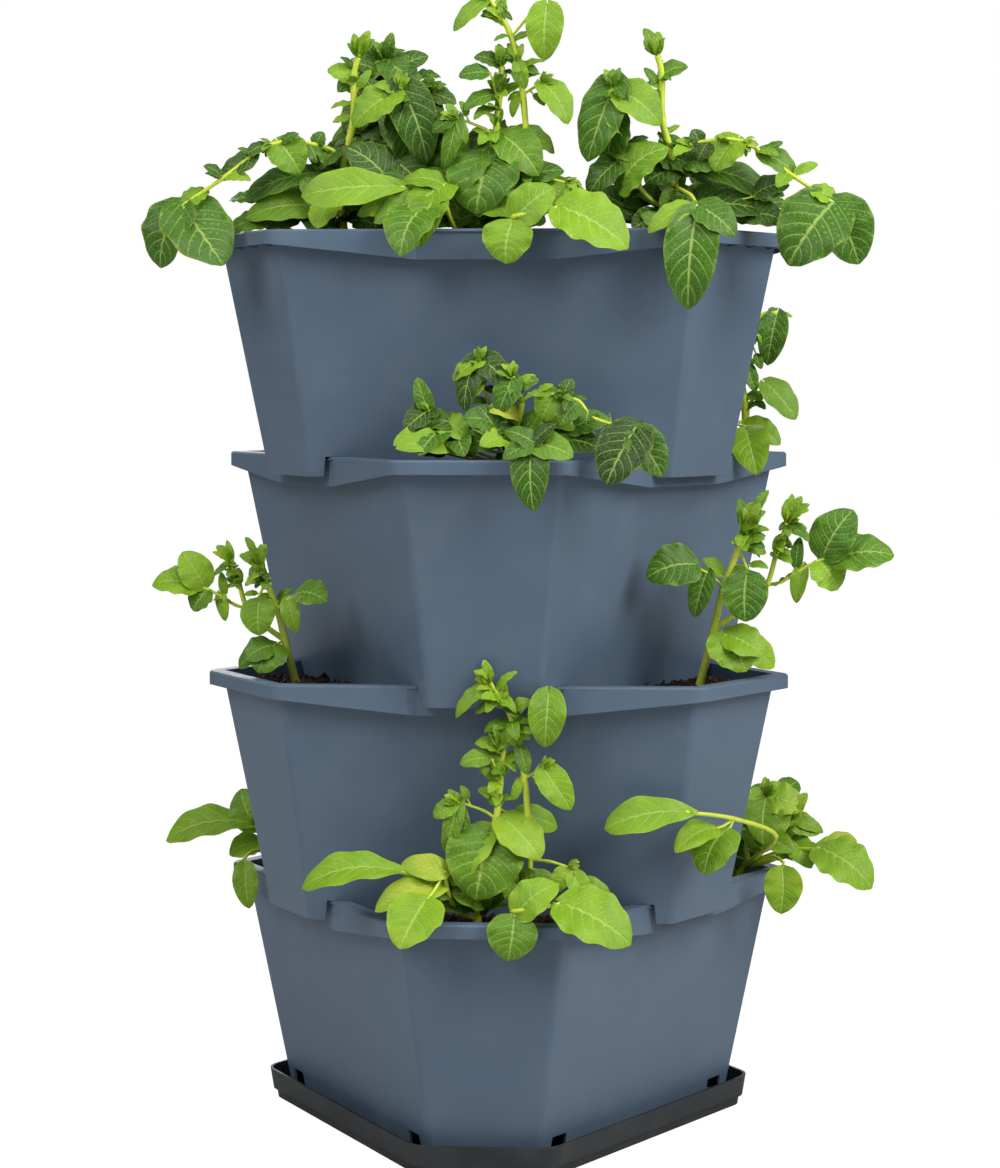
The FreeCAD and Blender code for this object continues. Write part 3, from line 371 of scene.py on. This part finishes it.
class Mesh:
    """Vertices, faces and their tones and places on the blade, gathered for one object."""

    def __init__(self):
        self.verts = []
        self.faces = []
        self.kinds = []
        self.tones = []
        self.places = []

    def add(self, verts, faces, kind, tone, places=None):
        start = len(self.verts)
        self.verts += verts
        self.faces += [tuple(start + i for i in f) for f in faces]
        self.kinds += [kind] * len(faces)
        self.tones += [tone] * len(verts)
        self.places += places or [(0.0, 0.0)] * len(verts)

    def build(self, name, materials):
        mesh = bpy.data.meshes.new(name)
        mesh.from_pydata([v * MM for v in self.verts], [], self.faces)
        for m in materials:
            mesh.materials.append(m)
        mesh.polygons.foreach_set("material_index", self.kinds)
        mesh.polygons.foreach_set("use_smooth", [True] * len(self.faces))
        tone = mesh.attributes.new("tone", "FLOAT", "POINT")
        tone.data.foreach_set("value", self.tones)
        uv = mesh.uv_layers.new(name="blade")
        index = np.zeros(len(mesh.loops), dtype=np.int32)
        mesh.loops.foreach_get("vertex_index", index)
        uv.data.foreach_set("uv", np.array(self.places, dtype=np.float32)[index].ravel())
        mesh.update()
        obj = bpy.data.objects.new(name, mesh)
        bpy.context.scene.collection.objects.link(obj)
        return obj


def between(points, place):
    i = min(int(place), len(points) - 2)
    return points[i].lerp(points[i + 1], place - i)


def smooth_path(points, steps):
    """Points of a smooth curve through the given points."""
    path = []
    for i in range(len(points) - 1):
        a = points[max(i - 1, 0)]
        b, c = points[i], points[i + 1]
        d = points[min(i + 2, len(points) - 1)]
        for k in range(steps):
            t = k / steps
            path.append(0.5 * (2 * b + (c - a) * t + (2 * a - 5 * b + 4 * c - d) * t * t
                               + (3 * b - a - 3 * c + d) * t * t * t))
    return path + [points[-1]]


def tube(mesh, path, radii, kind, tone, sides=STEM_FACES):
    """Round tube along a path, with a closed end."""
    verts, faces, places = [], [], []
    side = Vector((0.31, 0.95, 0.0))
    for i, p in enumerate(path):
        along = (path[min(i + 1, len(path) - 1)] - path[max(i - 1, 0)]).normalized()
        side = (side - along * side.dot(along)).normalized()
        other = along.cross(side)
        for k in range(sides):
            turn = 2 * math.pi * k / sides
            verts.append(p + (side * math.cos(turn) + other * math.sin(turn)) * radii[i])
            places.append((i / (len(path) - 1), k / sides))
    for i in range(len(path) - 1):
        for k in range(sides):
            a, b = i * sides + k, i * sides + (k + 1) % sides
            faces.append((a, b, b + sides, a + sides))
    faces.append(tuple(range((len(path) - 1) * sides, len(path) * sides)))
    mesh.add(verts, faces, kind, tone, places)


def outline(u):
    """Half width of a blade at u of its length, from 0 to 1: full, with a short tip."""
    return math.sin(math.pi * u ** 0.8) ** 0.52 * (1 - 0.08 * u)


def leaf(mesh, start, tip, length, width, tone, chance):
    """Stalk and blade: folded at the midrib, arched, quilted, with a notched base."""
    reach = (tip - start).length
    length = min(length, LEAF_OVERLAP * reach)
    along = (tip - start).normalized()
    face = FACING + Vector([chance.uniform(-FACING_OFF, FACING_OFF) for _ in range(3)])
    side = along.cross(face).normalized()
    up = side.cross(along)
    foot = start + along * (reach - length)
    if reach > length:
        sagged = start.lerp(foot, 0.5) - up * STALK_SAG * reach
        path = smooth_path([start, sagged, foot], STALK_STEPS)
        thick = STALK_RADIUS + STALK_GROWTH * length
        radii = [thick * (1.25 - 0.4 * i / len(path)) for i in range(len(path))]
        tube(mesh, path, radii, STEM, tone, STALK_FACES)

    fold = chance.uniform(*FOLD)
    arch = chance.uniform(*ARCH)
    curl = chance.uniform(*CURL)
    bend = chance.uniform(*BEND)
    waves = chance.uniform(*WAVES)
    phase = chance.uniform(0, 2 * math.pi)
    behind = max(length - reach, 0) / length
    spoon = length >= SPOON_LENGTH and length > SPOON_SLENDER * width
    shift = SPOON_SHIFT if spoon else 1.0
    top, under, places = [], [], []
    for i in range(BLADE_ROWS + 1):
        u = i / BLADE_ROWS
        inner = 0 < i < BLADE_ROWS
        rise = 4 * arch * (u * (1 - u) - behind * (1 - behind)) - curl * u ** 3
        half = width / 2 * outline(u ** shift) if inner else 0.02 * width
        middle = foot + up * (length * rise) + side * (length * bend * u * (1 - u) * 4)
        for k in range(BLADE_COLUMNS + 1):
            v = 2 * k / BLADE_COLUMNS - 1
            lift = fold * half * abs(v) ** 1.2 * (1 - 0.5 * abs(v))
            quilt = QUILT_DEPTH * width * math.sin(math.pi * vein_count(u, v)) ** 2
            quilt *= (1 - abs(v)) * (1 - u) ** 0.3
            wave = math.sin(waves * 2 * math.pi * u + phase + (v > 0) * 2.1)
            edge = WAVE_DEPTH * width * abs(v) ** 3 * wave
            back = NOTCH_BACK * v * v * (1 - u) ** 4
            p = middle + along * (length * (u - back)) + side * (half * v)
            p += up * (lift + quilt + edge * outline(u))
            rim = 1 - max(abs(v) ** 6, 0 if inner else 1)
            top.append(p + up * (BLADE_THICKNESS / 2 * rim))
            under.append(p - up * (BLADE_THICKNESS / 2 * rim + FACE_GAP))
            places.append((u, v))
    columns = BLADE_COLUMNS + 1
    faces = []
    for i in range(BLADE_ROWS):
        for k in range(BLADE_COLUMNS):
            a = i * columns + k
            faces.append((a, a + 1, a + columns + 1, a + columns))
    mesh.add(top, faces, TOP, tone, places)
    mesh.add(under, [f[::-1] for f in faces], UNDER, tone, places)


def vein_count(u, v):
    """Grows by one from each side vein to the next; veins run outwards and forwards."""
    return (u - VEIN_FORWARD * abs(v) ** VEIN_BEND) * SIDE_VEINS


def turned_out(way, outward):
    """A direction that would run into the tier above, turned back out of it."""
    return way - outward * (TURNED_OUT * min(way.dot(outward), 0.0))


def bud(mesh, at, along, size, tone, outward, chance):
    """Cluster of young leaves at a shoot's tip."""
    side = along.orthogonal().normalized()
    other = along.cross(side)
    for i in range(BUD_LEAVES):
        turn = 2 * math.pi * (i / BUD_LEAVES + chance.uniform(-0.05, 0.05))
        spread = 0.3 + 1.1 * (i % 4) / 3
        way = (along + (side * math.cos(turn) + other * math.sin(turn)) * spread).normalized()
        way = turned_out(way, outward)
        way.z += 0.2
        length = size * chance.uniform(*BUD_LENGTH)
        width = length * chance.uniform(*BUD_WIDTH)
        own = tone + chance.uniform(-BUD_TONE_OFF, BUD_TONE_OFF)
        leaf(mesh, at, at + way.normalized() * length, length * BUD_BLADE, width, own, chance)


def grow(name, number, stems, leaves, buds, x, y, scale, mirrored, pale_from, pale_to):
    """One plant: smooth stems, leaves and buds in one object that stands for its node."""
    chance = random.Random(name)
    hand = -1 if mirrored else 1
    ground = STAND_HEIGHT + PITCH * (number - 1) + (TOP_SOIL if number == TIERS else POCKET_TOP)
    root = Vector((x, y, ground))
    outward = Vector((x, y, 0)).normalized() if number < TIERS else Vector()

    def placed(point):
        return root + Vector((hand * scale * point[0], -point[1], scale * point[2]))

    mesh = Mesh()
    rows = []
    for parent, place, thick, thin, points in stems:
        row = [placed(p) for p in points]
        if parent is not None:
            row.insert(0, between(rows[parent], place))
        rows.append(row)
        path = smooth_path(row, STEPS)
        radii = []
        for i in range(len(path)):
            share = i / (len(path) - 1)
            knob = 1 + KNOB * (i % STEPS == 0)
            radii.append((thick + (thin - thick) * TAPER * share) / 2 * knob)
        tube(mesh, path, radii, STEM, chance.uniform(*STEM_TONES))
    for i, (stem, place, across, out, up, length, width) in enumerate(leaves):
        tone = TONES.get(name, {}).get(i, chance.uniform(pale_from, pale_to))
        start = between(rows[stem], place)
        leaf(mesh, start, placed((across, out, up)), scale * length, scale * width, tone, chance)
    for stem, place, size in buds:
        row = rows[stem]
        i = min(int(place), len(row) - 2)
        way = (row[i + 1] - row[i]).normalized()
        tone = min(chance.uniform(*(pale_to + off for off in BUD_TONES)), YOUNG_TONE)
        bud(mesh, between(row, place), way, scale * size, tone, outward, chance)
    for stem, low, high, count, size in SPRIGS.get(name, []):
        for _ in range(count):
            start = between(rows[stem], chance.uniform(low, high))
            turn = chance.uniform(0, 2 * math.pi)
            way = Vector((math.cos(turn), 0.7 * math.sin(turn) - 0.2, chance.uniform(-0.6, 0.7)))
            length = scale * size * chance.uniform(*SPRIG_LENGTH)
            tone = min(chance.uniform(pale_from, pale_to + 0.1), YOUNG_TONE)
            tip = start + turned_out(way, outward).normalized() * (SPRIG_REACH * length)
            leaf(mesh, start, tip, length, length * chance.uniform(*SPRIG_WIDTH), tone, chance)
    for node, count, low, high, least, most in THICKETS:
        if node != name:
            continue
        for _ in range(count):
            start = between(rows[0], chance.uniform(low, high))
            tip = placed([chance.uniform(a, b) for a, b in zip(least, most)])
            length = scale * chance.uniform(*THICKET_LENGTH)
            tone = chance.uniform(0.5 * pale_from, 0.6 * pale_to)
            leaf(mesh, start, tip, length, length * chance.uniform(*THICKET_WIDTH), tone, chance)
    obj = mesh.build(name + "_foliage", [stem_look, leaf_look, underside_look])
    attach(obj, "tier_%d" % number)
    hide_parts(name)


class Look:
    """A node material, built from the shader back."""

    def __init__(self, name):
        self.material = bpy.data.materials.new(name)
        self.material.use_nodes = True
        self.tree = self.material.node_tree
        self.tree.nodes.clear()
        self.output = self.tree.nodes.new("ShaderNodeOutputMaterial")

    def node(self, kind, settings=None, **inputs):
        """New node; inputs are values or other nodes' sockets, by socket name."""
        node = self.tree.nodes.new(kind)
        for key, value in (settings or {}).items():
            setattr(node, key, value)
        for key, value in inputs.items():
            name = key.replace("_", " ")
            socket = node.inputs[int(name[5:])] if name.startswith("input") else node.inputs[name]
            if isinstance(value, bpy.types.NodeSocket):
                self.tree.links.new(value, socket)
            else:
                socket.default_value = value
        return node

    def math(self, what, a, b=0.0):
        return self.node("ShaderNodeMath", {"operation": what}, input0=a, input1=b).outputs[0]

    def noise(self, where, scale, detail=4.0, rough=0.55):
        node = self.node("ShaderNodeTexNoise", Vector=where, Scale=scale, Detail=detail, Roughness=rough)
        return node.outputs[0]

    def ramp(self, value, *stops):
        """Colour ramp: stops are (place, colour)."""
        node = self.node("ShaderNodeValToRGB", Fac=value)
        bands = node.color_ramp.elements
        while len(bands) < len(stops):
            bands.new(0.5)
        for band, (place, colour) in zip(bands, stops):
            band.position = place
            band.color = colour
        return node.outputs[0]

    def mix(self, share, a, b, how="MIX"):
        settings = {"data_type": "RGBA", "blend_type": how}
        node = self.node("ShaderNodeMix", settings, input0=share, input6=a, input7=b)
        return node.outputs[2]

    def level(self, value, low, high, out_low, out_high):
        names = {"input1": low, "input2": high, "input3": out_low, "input4": out_high}
        return self.node("ShaderNodeMapRange", input0=value, **names).outputs[0]

    def place(self):
        return self.node("ShaderNodeTexCoord").outputs["Object"]

    def tone(self):
        """The tone that each leaf, stem or chip was given when its mesh was made."""
        return self.node("ShaderNodeAttribute", {"attribute_name": "tone"}).outputs["Fac"]

    def bump(self, strength, depth, height, **more):
        return self.node("ShaderNodeBump", Strength=strength, Distance=depth, Height=height,
                         **more).outputs[0]

    def surface(self, colour, rough, normal, **more):
        return self.node("ShaderNodeBsdfPrincipled", Base_Color=colour, Roughness=rough,
                         Normal=normal, **more)

    def finish(self, surface):
        self.tree.links.new(surface.outputs[0], self.output.inputs[0])
        return self.material


def plastic(name, base, light, rough):
    """Matte moulded plastic: fine grain, faint flow marks, softened edges, thin dust."""
    look = Look(name)
    where = look.place()
    flow = look.noise(where, 5.0, 3.0)
    cloud = look.noise(where, 24.0, 5.0)
    grain = look.noise(where, 900.0, 2.0)
    colour = look.mix(look.level(flow, 0.35, 0.65, 0.0, 0.35), base, light)
    colour = look.mix(look.level(cloud, 0.45, 0.75, 0.0, 0.08), colour, rgb(150, 158, 165))
    shine = look.math("ADD", look.level(cloud, 0.3, 0.7, rough - 0.05, rough + 0.06),
                      look.level(grain, 0.3, 0.7, -0.03, 0.03))
    soft = look.node("ShaderNodeBevel", {"samples": 4}, Radius=0.0009).outputs[0]
    fine = look.bump(0.12, 0.0002, grain, Normal=soft)
    wavy = look.bump(0.25, 0.0006, flow, Normal=fine)
    return look.finish(look.surface(colour, shine, wavy, Specular_IOR_Level=0.42))


def foliage(name, shine, through, greens, vein):
    """A blade's face: pale veins between quilted fields, its own green by tone, a painted highlight
    along its edge.
    """
    look = Look(name)
    where = look.place()
    tone = look.tone()
    uv = look.node("ShaderNodeSeparateXYZ", Vector=look.node("ShaderNodeTexCoord").outputs["UV"])
    u, v = uv.outputs[0], look.math("ABSOLUTE", uv.outputs[1])
    forward = look.math("MULTIPLY", look.math("POWER", v, VEIN_BEND), VEIN_FORWARD)
    count = look.math("MULTIPLY", look.math("SUBTRACT", u, forward), SIDE_VEINS)
    off = look.math("ABSOLUTE", look.math("SUBTRACT", look.math("FRACT", count), 0.5))
    side_vein = look.level(off, 0.42, 0.49, 0.0, 1.0)
    side_vein = look.math("MULTIPLY", side_vein, look.level(v, 0.2, 1.0, 0.95, 0.25))
    midrib = look.level(v, 0.025, 0.065, 1.0, 0.0)
    veins = look.math("MAXIMUM", midrib, side_vein)
    patch = look.noise(where, 60.0, 4.0)
    small = look.noise(where, 420.0, 3.0)
    cells = look.node("ShaderNodeTexVoronoi", {"feature": "DISTANCE_TO_EDGE"}, Vector=where, Scale=330.0)
    net = look.level(cells.outputs[0], 0.0, 0.12, 1.0, 0.0)
    own = look.math("ADD", look.math("MULTIPLY", tone, 0.8), look.math("MULTIPLY", patch, 0.3))
    green = look.ramp(own, (0.1, greens[0]), (0.45, greens[1]), (0.8, greens[2]), (1.0, greens[3]))
    green = look.mix(look.math("MULTIPLY", net, 0.14), green, vein)
    green = look.mix(look.math("MULTIPLY", veins, 0.62), green, vein)
    # Painted highlight: near the blade's edge the green is lightened toward the palest green, in a
    # ragged band.
    rim = look.math("ADD", v, look.math("MULTIPLY", small, 0.25))
    green = look.mix(look.level(rim, 1.0, 1.25, 0.0, 0.3), green, greens[3])
    sunk = look.math("ADD", veins, look.math("MULTIPLY", net, 0.3))
    height = look.math("SUBTRACT", look.math("MULTIPLY", small, 0.5), sunk)
    quilted = look.bump(0.55, 0.0007, height)
    rough = look.level(small, 0.3, 0.7, shine, shine + 0.15)
    shader = look.surface(green, rough, quilted, Specular_IOR_Level=0.4)
    lit = look.mix(0.5, green, greens[2])
    glow = look.node("ShaderNodeBsdfTranslucent", Color=lit, Normal=quilted)
    return look.finish(look.node("ShaderNodeMixShader", input0=through, input1=shader.outputs[0],
                                 input2=glow.outputs[0]))


def stalk(name):
    """Juicy stems: pale yellow-green with darker streaks."""
    look = Look(name)
    where = look.place()
    streak = look.noise(where, 180.0, 4.0)
    patch = look.noise(where, 30.0, 3.0)
    share = look.math("ADD", look.math("MULTIPLY", streak, 0.5), look.math("MULTIPLY", look.tone(), 0.4))
    colour = look.ramp(share, (0.15, rgb(172, 198, 44)), (0.5, rgb(210, 228, 70)),
                       (0.9, rgb(234, 242, 120)))
    colour = look.mix(look.level(patch, 0.55, 0.8, 0.0, 0.3), colour, rgb(184, 190, 76))
    shader = look.surface(colour, 0.42, look.bump(0.3, 0.0004, streak), Subsurface_Weight=0.12,
                          Subsurface_Radius=(0.002, 0.003, 0.001))
    return look.finish(shader)


def earth(name):
    """Moist potting soil: crumbs, fibres and bark, each chip with its own brown."""
    look = Look(name)
    where = look.place()
    crumb = look.noise(where, 260.0, 6.0, 0.7)
    patch = look.noise(where, 40.0, 4.0)
    share = look.math("ADD", look.math("MULTIPLY", crumb, 0.6), look.math("MULTIPLY", look.tone(), 0.45))
    colour = look.ramp(share, (0.22, rgb(20, 13, 11)), (0.5, rgb(52, 34, 28)), (0.72, rgb(84, 58, 46)),
                       (0.95, rgb(132, 100, 78)))
    colour = look.mix(look.level(patch, 0.4, 0.7, 0.0, 0.5), colour, rgb(34, 22, 20))
    rough = look.level(crumb, 0.3, 0.7, 0.75, 0.98)
    shader = look.surface(colour, rough, look.bump(0.9, 0.0016, crumb), Specular_IOR_Level=0.25)
    return look.finish(shader)


tier_look = plastic("tier_plastic", rgb(84, 103, 124), rgb(90, 110, 131), 0.47)
saucer_look = plastic("saucer_plastic", rgb(34, 38, 41), rgb(42, 47, 50), 0.5)
leaf_look = foliage(
    "leaf_top", shine=0.34, through=0.12, vein=rgb(192, 220, 112),
    greens=[rgb(24, 66, 1), rgb(62, 116, 3), rgb(138, 184, 24), rgb(204, 204, 60)])
underside_look = foliage(
    "leaf_underside", shine=0.55, through=0.2, vein=rgb(186, 214, 116),
    greens=[rgb(78, 122, 34), rgb(118, 164, 52), rgb(162, 200, 72), rgb(196, 200, 70)])
stem_look = stalk("stem")
soil_look = earth("soil")


def wear(node, look):
    """Gives a CAD node its material."""
    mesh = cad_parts[node].data
    mesh.materials.clear()
    mesh.materials.append(look)


wear("saucer", saucer_look)
for number in range(1, TIERS + 1):
    wear("tier_%d" % number, tier_look)


def corner_angle(number):
    return -90.0 + 180.0 * ((number - 1) % 2)


def plan_reach(number, turn, z, inset):
    """Distance from the middle to the inside of a tier's wall, along an angle in plan."""
    best = 1e9
    for i in range(6):
        line = math.radians(corner_angle(number) + 60 * i)
        reach = (CORNER_REACH, LONG_REACH)[i % 2] + DRAFT * z - inset
        facing = math.cos(turn - line)
        if facing > 1e-3:
            best = min(best, reach / facing)
    return best


def ripple(x, y, seed):
    """Gentle unevenness from -1 to 1."""
    a = math.sin(x * 0.11 + seed) * math.cos(y * 0.13 - seed * 2)
    b = math.sin(x * 0.31 + y * 0.27 + seed * 3) * 0.5
    c = math.sin(x * 0.83 - y * 0.71 + seed * 5) * 0.25
    return (a + b + c) / 1.75


def step(value, low, high):
    t = min(max((value - low) / (high - low), 0.0), 1.0)
    return t * t * (3 - 2 * t)


def soil_height(number, x, y):
    """Height of the soil over its tier's foot, heaped where no tier stands on it."""
    turn = math.atan2(y, x)
    edge = plan_reach(number, turn, POCKET_TOP, WALL + SOIL_GAP) - math.hypot(x, y)
    if number == TIERS:
        heap = (TOP_SOIL - SLAB_TOP - 2.5) * step(edge, 0, TOP_SLOPE)
        return SLAB_TOP + heap + 2 * ripple(x, y, number)
    outward = max(x * math.cos(a) + y * math.sin(a)
                  for a in (math.radians(corner_angle(number) + 120 * i) for i in range(3)))
    heap = step(outward, POCKET_START + 1, POCKET_START + 8) * step(edge, -2, 8)
    return SLAB_TOP + (POCKET_TOP - SLAB_TOP - 2) * heap + ripple(x, y, number) * (0.6 + heap)


SOIL_SPOKES = 168
SOIL_RINGS = 56
SOIL_INSET = 0.3           # of the loose surface inside the CAD's soil
CHIPS_IN_POCKET = 420
CHIPS_ON_TOP = 2400
POCKET_MIDDLE = 196.0      # from the tier's middle
POCKET_SPREAD = 84.0
TOP_SPREAD = 240.0
CHIP_SIDES = 5
SMALL_CHIPS = (1.6, 4.2)
LARGE_CHIPS = (4.0, 7.0)
SMALL_SHARE = 0.8


def chip(mesh, at, size, chance):
    """Irregular crumb or sliver of bark with flat sides."""
    long = chance.choice((1.0, 1.0, 1.3, 2.4))
    axis = Vector([chance.uniform(-1, 1) for _ in range(3)]).normalized()
    side = axis.orthogonal().normalized()
    other = axis.cross(side)
    rings = []
    for part, width in ((-0.5, 0.45), (-0.1, 1.0), (0.4, 0.6)):
        for k in range(CHIP_SIDES):
            turn = 2 * math.pi * (k + chance.uniform(-0.25, 0.25)) / CHIP_SIDES
            spread = size * 0.5 * width * chance.uniform(0.7, 1.1)
            rings.append(at + axis * (part * size * long)
                         + side * (math.cos(turn) * spread) + other * (math.sin(turn) * spread * 0.7))
    faces = [tuple(range(CHIP_SIDES))[::-1], tuple(range(2 * CHIP_SIDES, 3 * CHIP_SIDES))]
    for r in range(2):
        for k in range(CHIP_SIDES):
            a, b = r * CHIP_SIDES + k, r * CHIP_SIDES + (k + 1) % CHIP_SIDES
            faces.append((a, b, b + CHIP_SIDES, a + CHIP_SIDES))
    mesh.add(rings, faces, 0, chance.uniform(0.1, 1.0) ** 1.5)


def soil(number):
    """The soil of one tier: an uneven surface down to its edge, with loose chips on it."""
    chance = random.Random("soil %d" % number)
    base = STAND_HEIGHT + PITCH * (number - 1)
    mesh = Mesh()
    verts, faces = [], []
    for r in range(SOIL_RINGS + 2):
        for k in range(SOIL_SPOKES):
            turn = 2 * math.pi * k / SOIL_SPOKES
            if r <= SOIL_RINGS:
                share = (r / SOIL_RINGS) ** 0.8
                reach = plan_reach(number, turn, SLAB_TOP, WALL + SOIL_GAP + SOIL_INSET)
                reach *= max(share, 0.004)
                x, y = reach * math.cos(turn), reach * math.sin(turn)
                z = soil_height(number, x, y)
            else:
                reach = plan_reach(number, turn, SOIL_FOOT, WALL + SOIL_GAP + SOIL_INSET)
                x, y, z = reach * math.cos(turn), reach * math.sin(turn), SOIL_FOOT
            verts.append(Vector((x, y, base + z)))
    for r in range(SOIL_RINGS + 1):
        for k in range(SOIL_SPOKES):
            a, b = r * SOIL_SPOKES + k, r * SOIL_SPOKES + (k + 1) % SOIL_SPOKES
            faces.append((a, a + SOIL_SPOKES, b + SOIL_SPOKES, b))
    last = (SOIL_RINGS + 1) * SOIL_SPOKES
    faces.append(tuple(range(SOIL_SPOKES))[::-1])
    faces.append(tuple(range(last, last + SOIL_SPOKES))[::-1])
    mesh.add(verts, faces, 0, 0.25)
    if number == TIERS:
        spots = [(0.0, 0.0, TOP_SPREAD, CHIPS_ON_TOP)]
    else:
        spots = []
        for i in range(3):
            angle = math.radians(corner_angle(number) + 120 * i)
            spots.append((POCKET_MIDDLE * math.cos(angle), POCKET_MIDDLE * math.sin(angle),
                          POCKET_SPREAD, CHIPS_IN_POCKET))
    for cx, cy, spread, count in spots:
        for _ in range(count):
            turn, far = chance.uniform(0, 2 * math.pi), spread * math.sqrt(chance.random())
            x, y = cx + far * math.cos(turn), cy + far * math.sin(turn)
            size = chance.uniform(*(SMALL_CHIPS if chance.random() < SMALL_SHARE else LARGE_CHIPS))
            inside = plan_reach(number, math.atan2(y, x), POCKET_TOP, WALL + size + 1) - math.hypot(x, y)
            height = soil_height(number, x, y)
            if inside < 0 or (number < TIERS and height < POCKET_TOP - 6):
                continue
            chip(mesh, Vector((x, y, base + height + size * 0.12)), size, chance)
    obj = mesh.build("soil_%d_crumbs" % number, [soil_look])
    obj.data.polygons.foreach_set("use_smooth", [False] * len(obj.data.polygons))
    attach(obj, "tier_%d" % number)
    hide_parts("soil_%d" % number)


for number in range(1, TIERS + 1):
    soil(number)
for row in PLANTS:
    grow(*row)


FLOOR_REACH = 12.0
FLOOR_DROP = 0.0002        # keeps the floor clear of the saucer's underside
FLOOR_SHOWN = 0.92         # share of white that the camera sees; the rest takes the shadow
WORLD_LIGHT = 0.22
AIM = (0.0, 0.0, 0.45)
WARM = (1.0, 0.98, 0.95)
WARMER = (1.0, 0.97, 0.94)
WHITE = (1.0, 1.0, 1.0)
# A lamp is (name, place, aim, width and height, watts, colour).
LAMPS = [
    ("key", (2.1, -1.4, 2.1), AIM, (1.7, 1.7), 74.0, WARM),
    ("fill", (-1.7, -1.9, 2.3), AIM, (2.0, 1.6), 46.0, WARMER),
    ("top", (0.3, -1.0, 3.3), (0.0, 0.0, 0.5), (1.2, 1.2), 20.0, WHITE),
    ("back", (-0.7, 2.5, 1.8), AIM, (1.4, 1.4), 34.0, WHITE),
]


def lamp(name, place, aim, size, power, colour):
    """Soft rectangular light at a place, aimed at a point."""
    data = bpy.data.lights.new(name, "AREA")
    data.shape = "RECTANGLE"
    data.size, data.size_y = size
    data.energy = power
    data.color = colour
    obj = bpy.data.objects.new(name, data)
    obj.location = place
    obj.rotation_euler = (Vector(aim) - Vector(place)).to_track_quat("-Z", "Y").to_euler()
    bpy.context.scene.collection.objects.link(obj)


def backdrop():
    """Pale floor and world, white to the camera but for a faint contact shadow."""
    look = Look("floor")
    seen = look.node("ShaderNodeLightPath").outputs["Is Camera Ray"]
    pale = look.node("ShaderNodeBsdfDiffuse", Color=(0.55, 0.55, 0.55, 1.0))
    white = look.node("ShaderNodeEmission", Color=(1.0, 1.0, 1.0, 1.0), Strength=1.1)
    share = look.math("MULTIPLY", seen, FLOOR_SHOWN)
    material = look.finish(look.node("ShaderNodeMixShader", input0=share, input1=pale.outputs[0],
                                     input2=white.outputs[0]))
    mesh = bpy.data.meshes.new("floor")
    far = FLOOR_REACH
    corners = [(-far, -far, 0), (far, -far, 0), (far, far, 0), (-far, far, 0)]
    mesh.from_pydata(corners, [], [(0, 1, 2, 3)])
    mesh.materials.append(material)
    floor = bpy.data.objects.new("floor", mesh)
    floor.location.z = -FLOOR_DROP
    bpy.context.scene.collection.objects.link(floor)

    world = bpy.data.worlds.new("studio")
    bpy.context.scene.world = world
    world.use_nodes = True
    tree = world.node_tree
    tree.nodes.clear()
    path = tree.nodes.new("ShaderNodeLightPath")
    around = tree.nodes.new("ShaderNodeBackground")
    around.inputs["Color"].default_value = (0.96, 0.98, 1.0, 1.0)
    around.inputs["Strength"].default_value = WORLD_LIGHT
    behind = tree.nodes.new("ShaderNodeBackground")
    behind.inputs["Color"].default_value = (1.0, 1.0, 1.0, 1.0)
    behind.inputs["Strength"].default_value = 1.0
    mix = tree.nodes.new("ShaderNodeMixShader")
    out = tree.nodes.new("ShaderNodeOutputWorld")
    tree.links.new(path.outputs["Is Camera Ray"], mix.inputs[0])
    tree.links.new(around.outputs[0], mix.inputs[1])
    tree.links.new(behind.outputs[0], mix.inputs[2])
    tree.links.new(mix.outputs[0], out.inputs[0])


def camera():
    data = bpy.data.cameras.new("camera")
    data.lens = LENS
    data.sensor_width = SENSOR
    data.sensor_fit = "HORIZONTAL"
    obj = bpy.data.objects.new("camera", data)
    turn = math.radians(CAMERA_TURN)
    obj.location = (CAMERA_REACH * math.sin(turn), -CAMERA_REACH * math.cos(turn), CAMERA_HEIGHT)
    obj.rotation_euler = (math.radians(90 - CAMERA_DOWN), 0, math.radians(CAMERA_AIM))
    bpy.context.scene.collection.objects.link(obj)
    bpy.context.scene.camera = obj


backdrop()
for row in LAMPS:
    lamp(*row)
camera()

bpy.context.scene.view_settings.view_transform = "Standard"
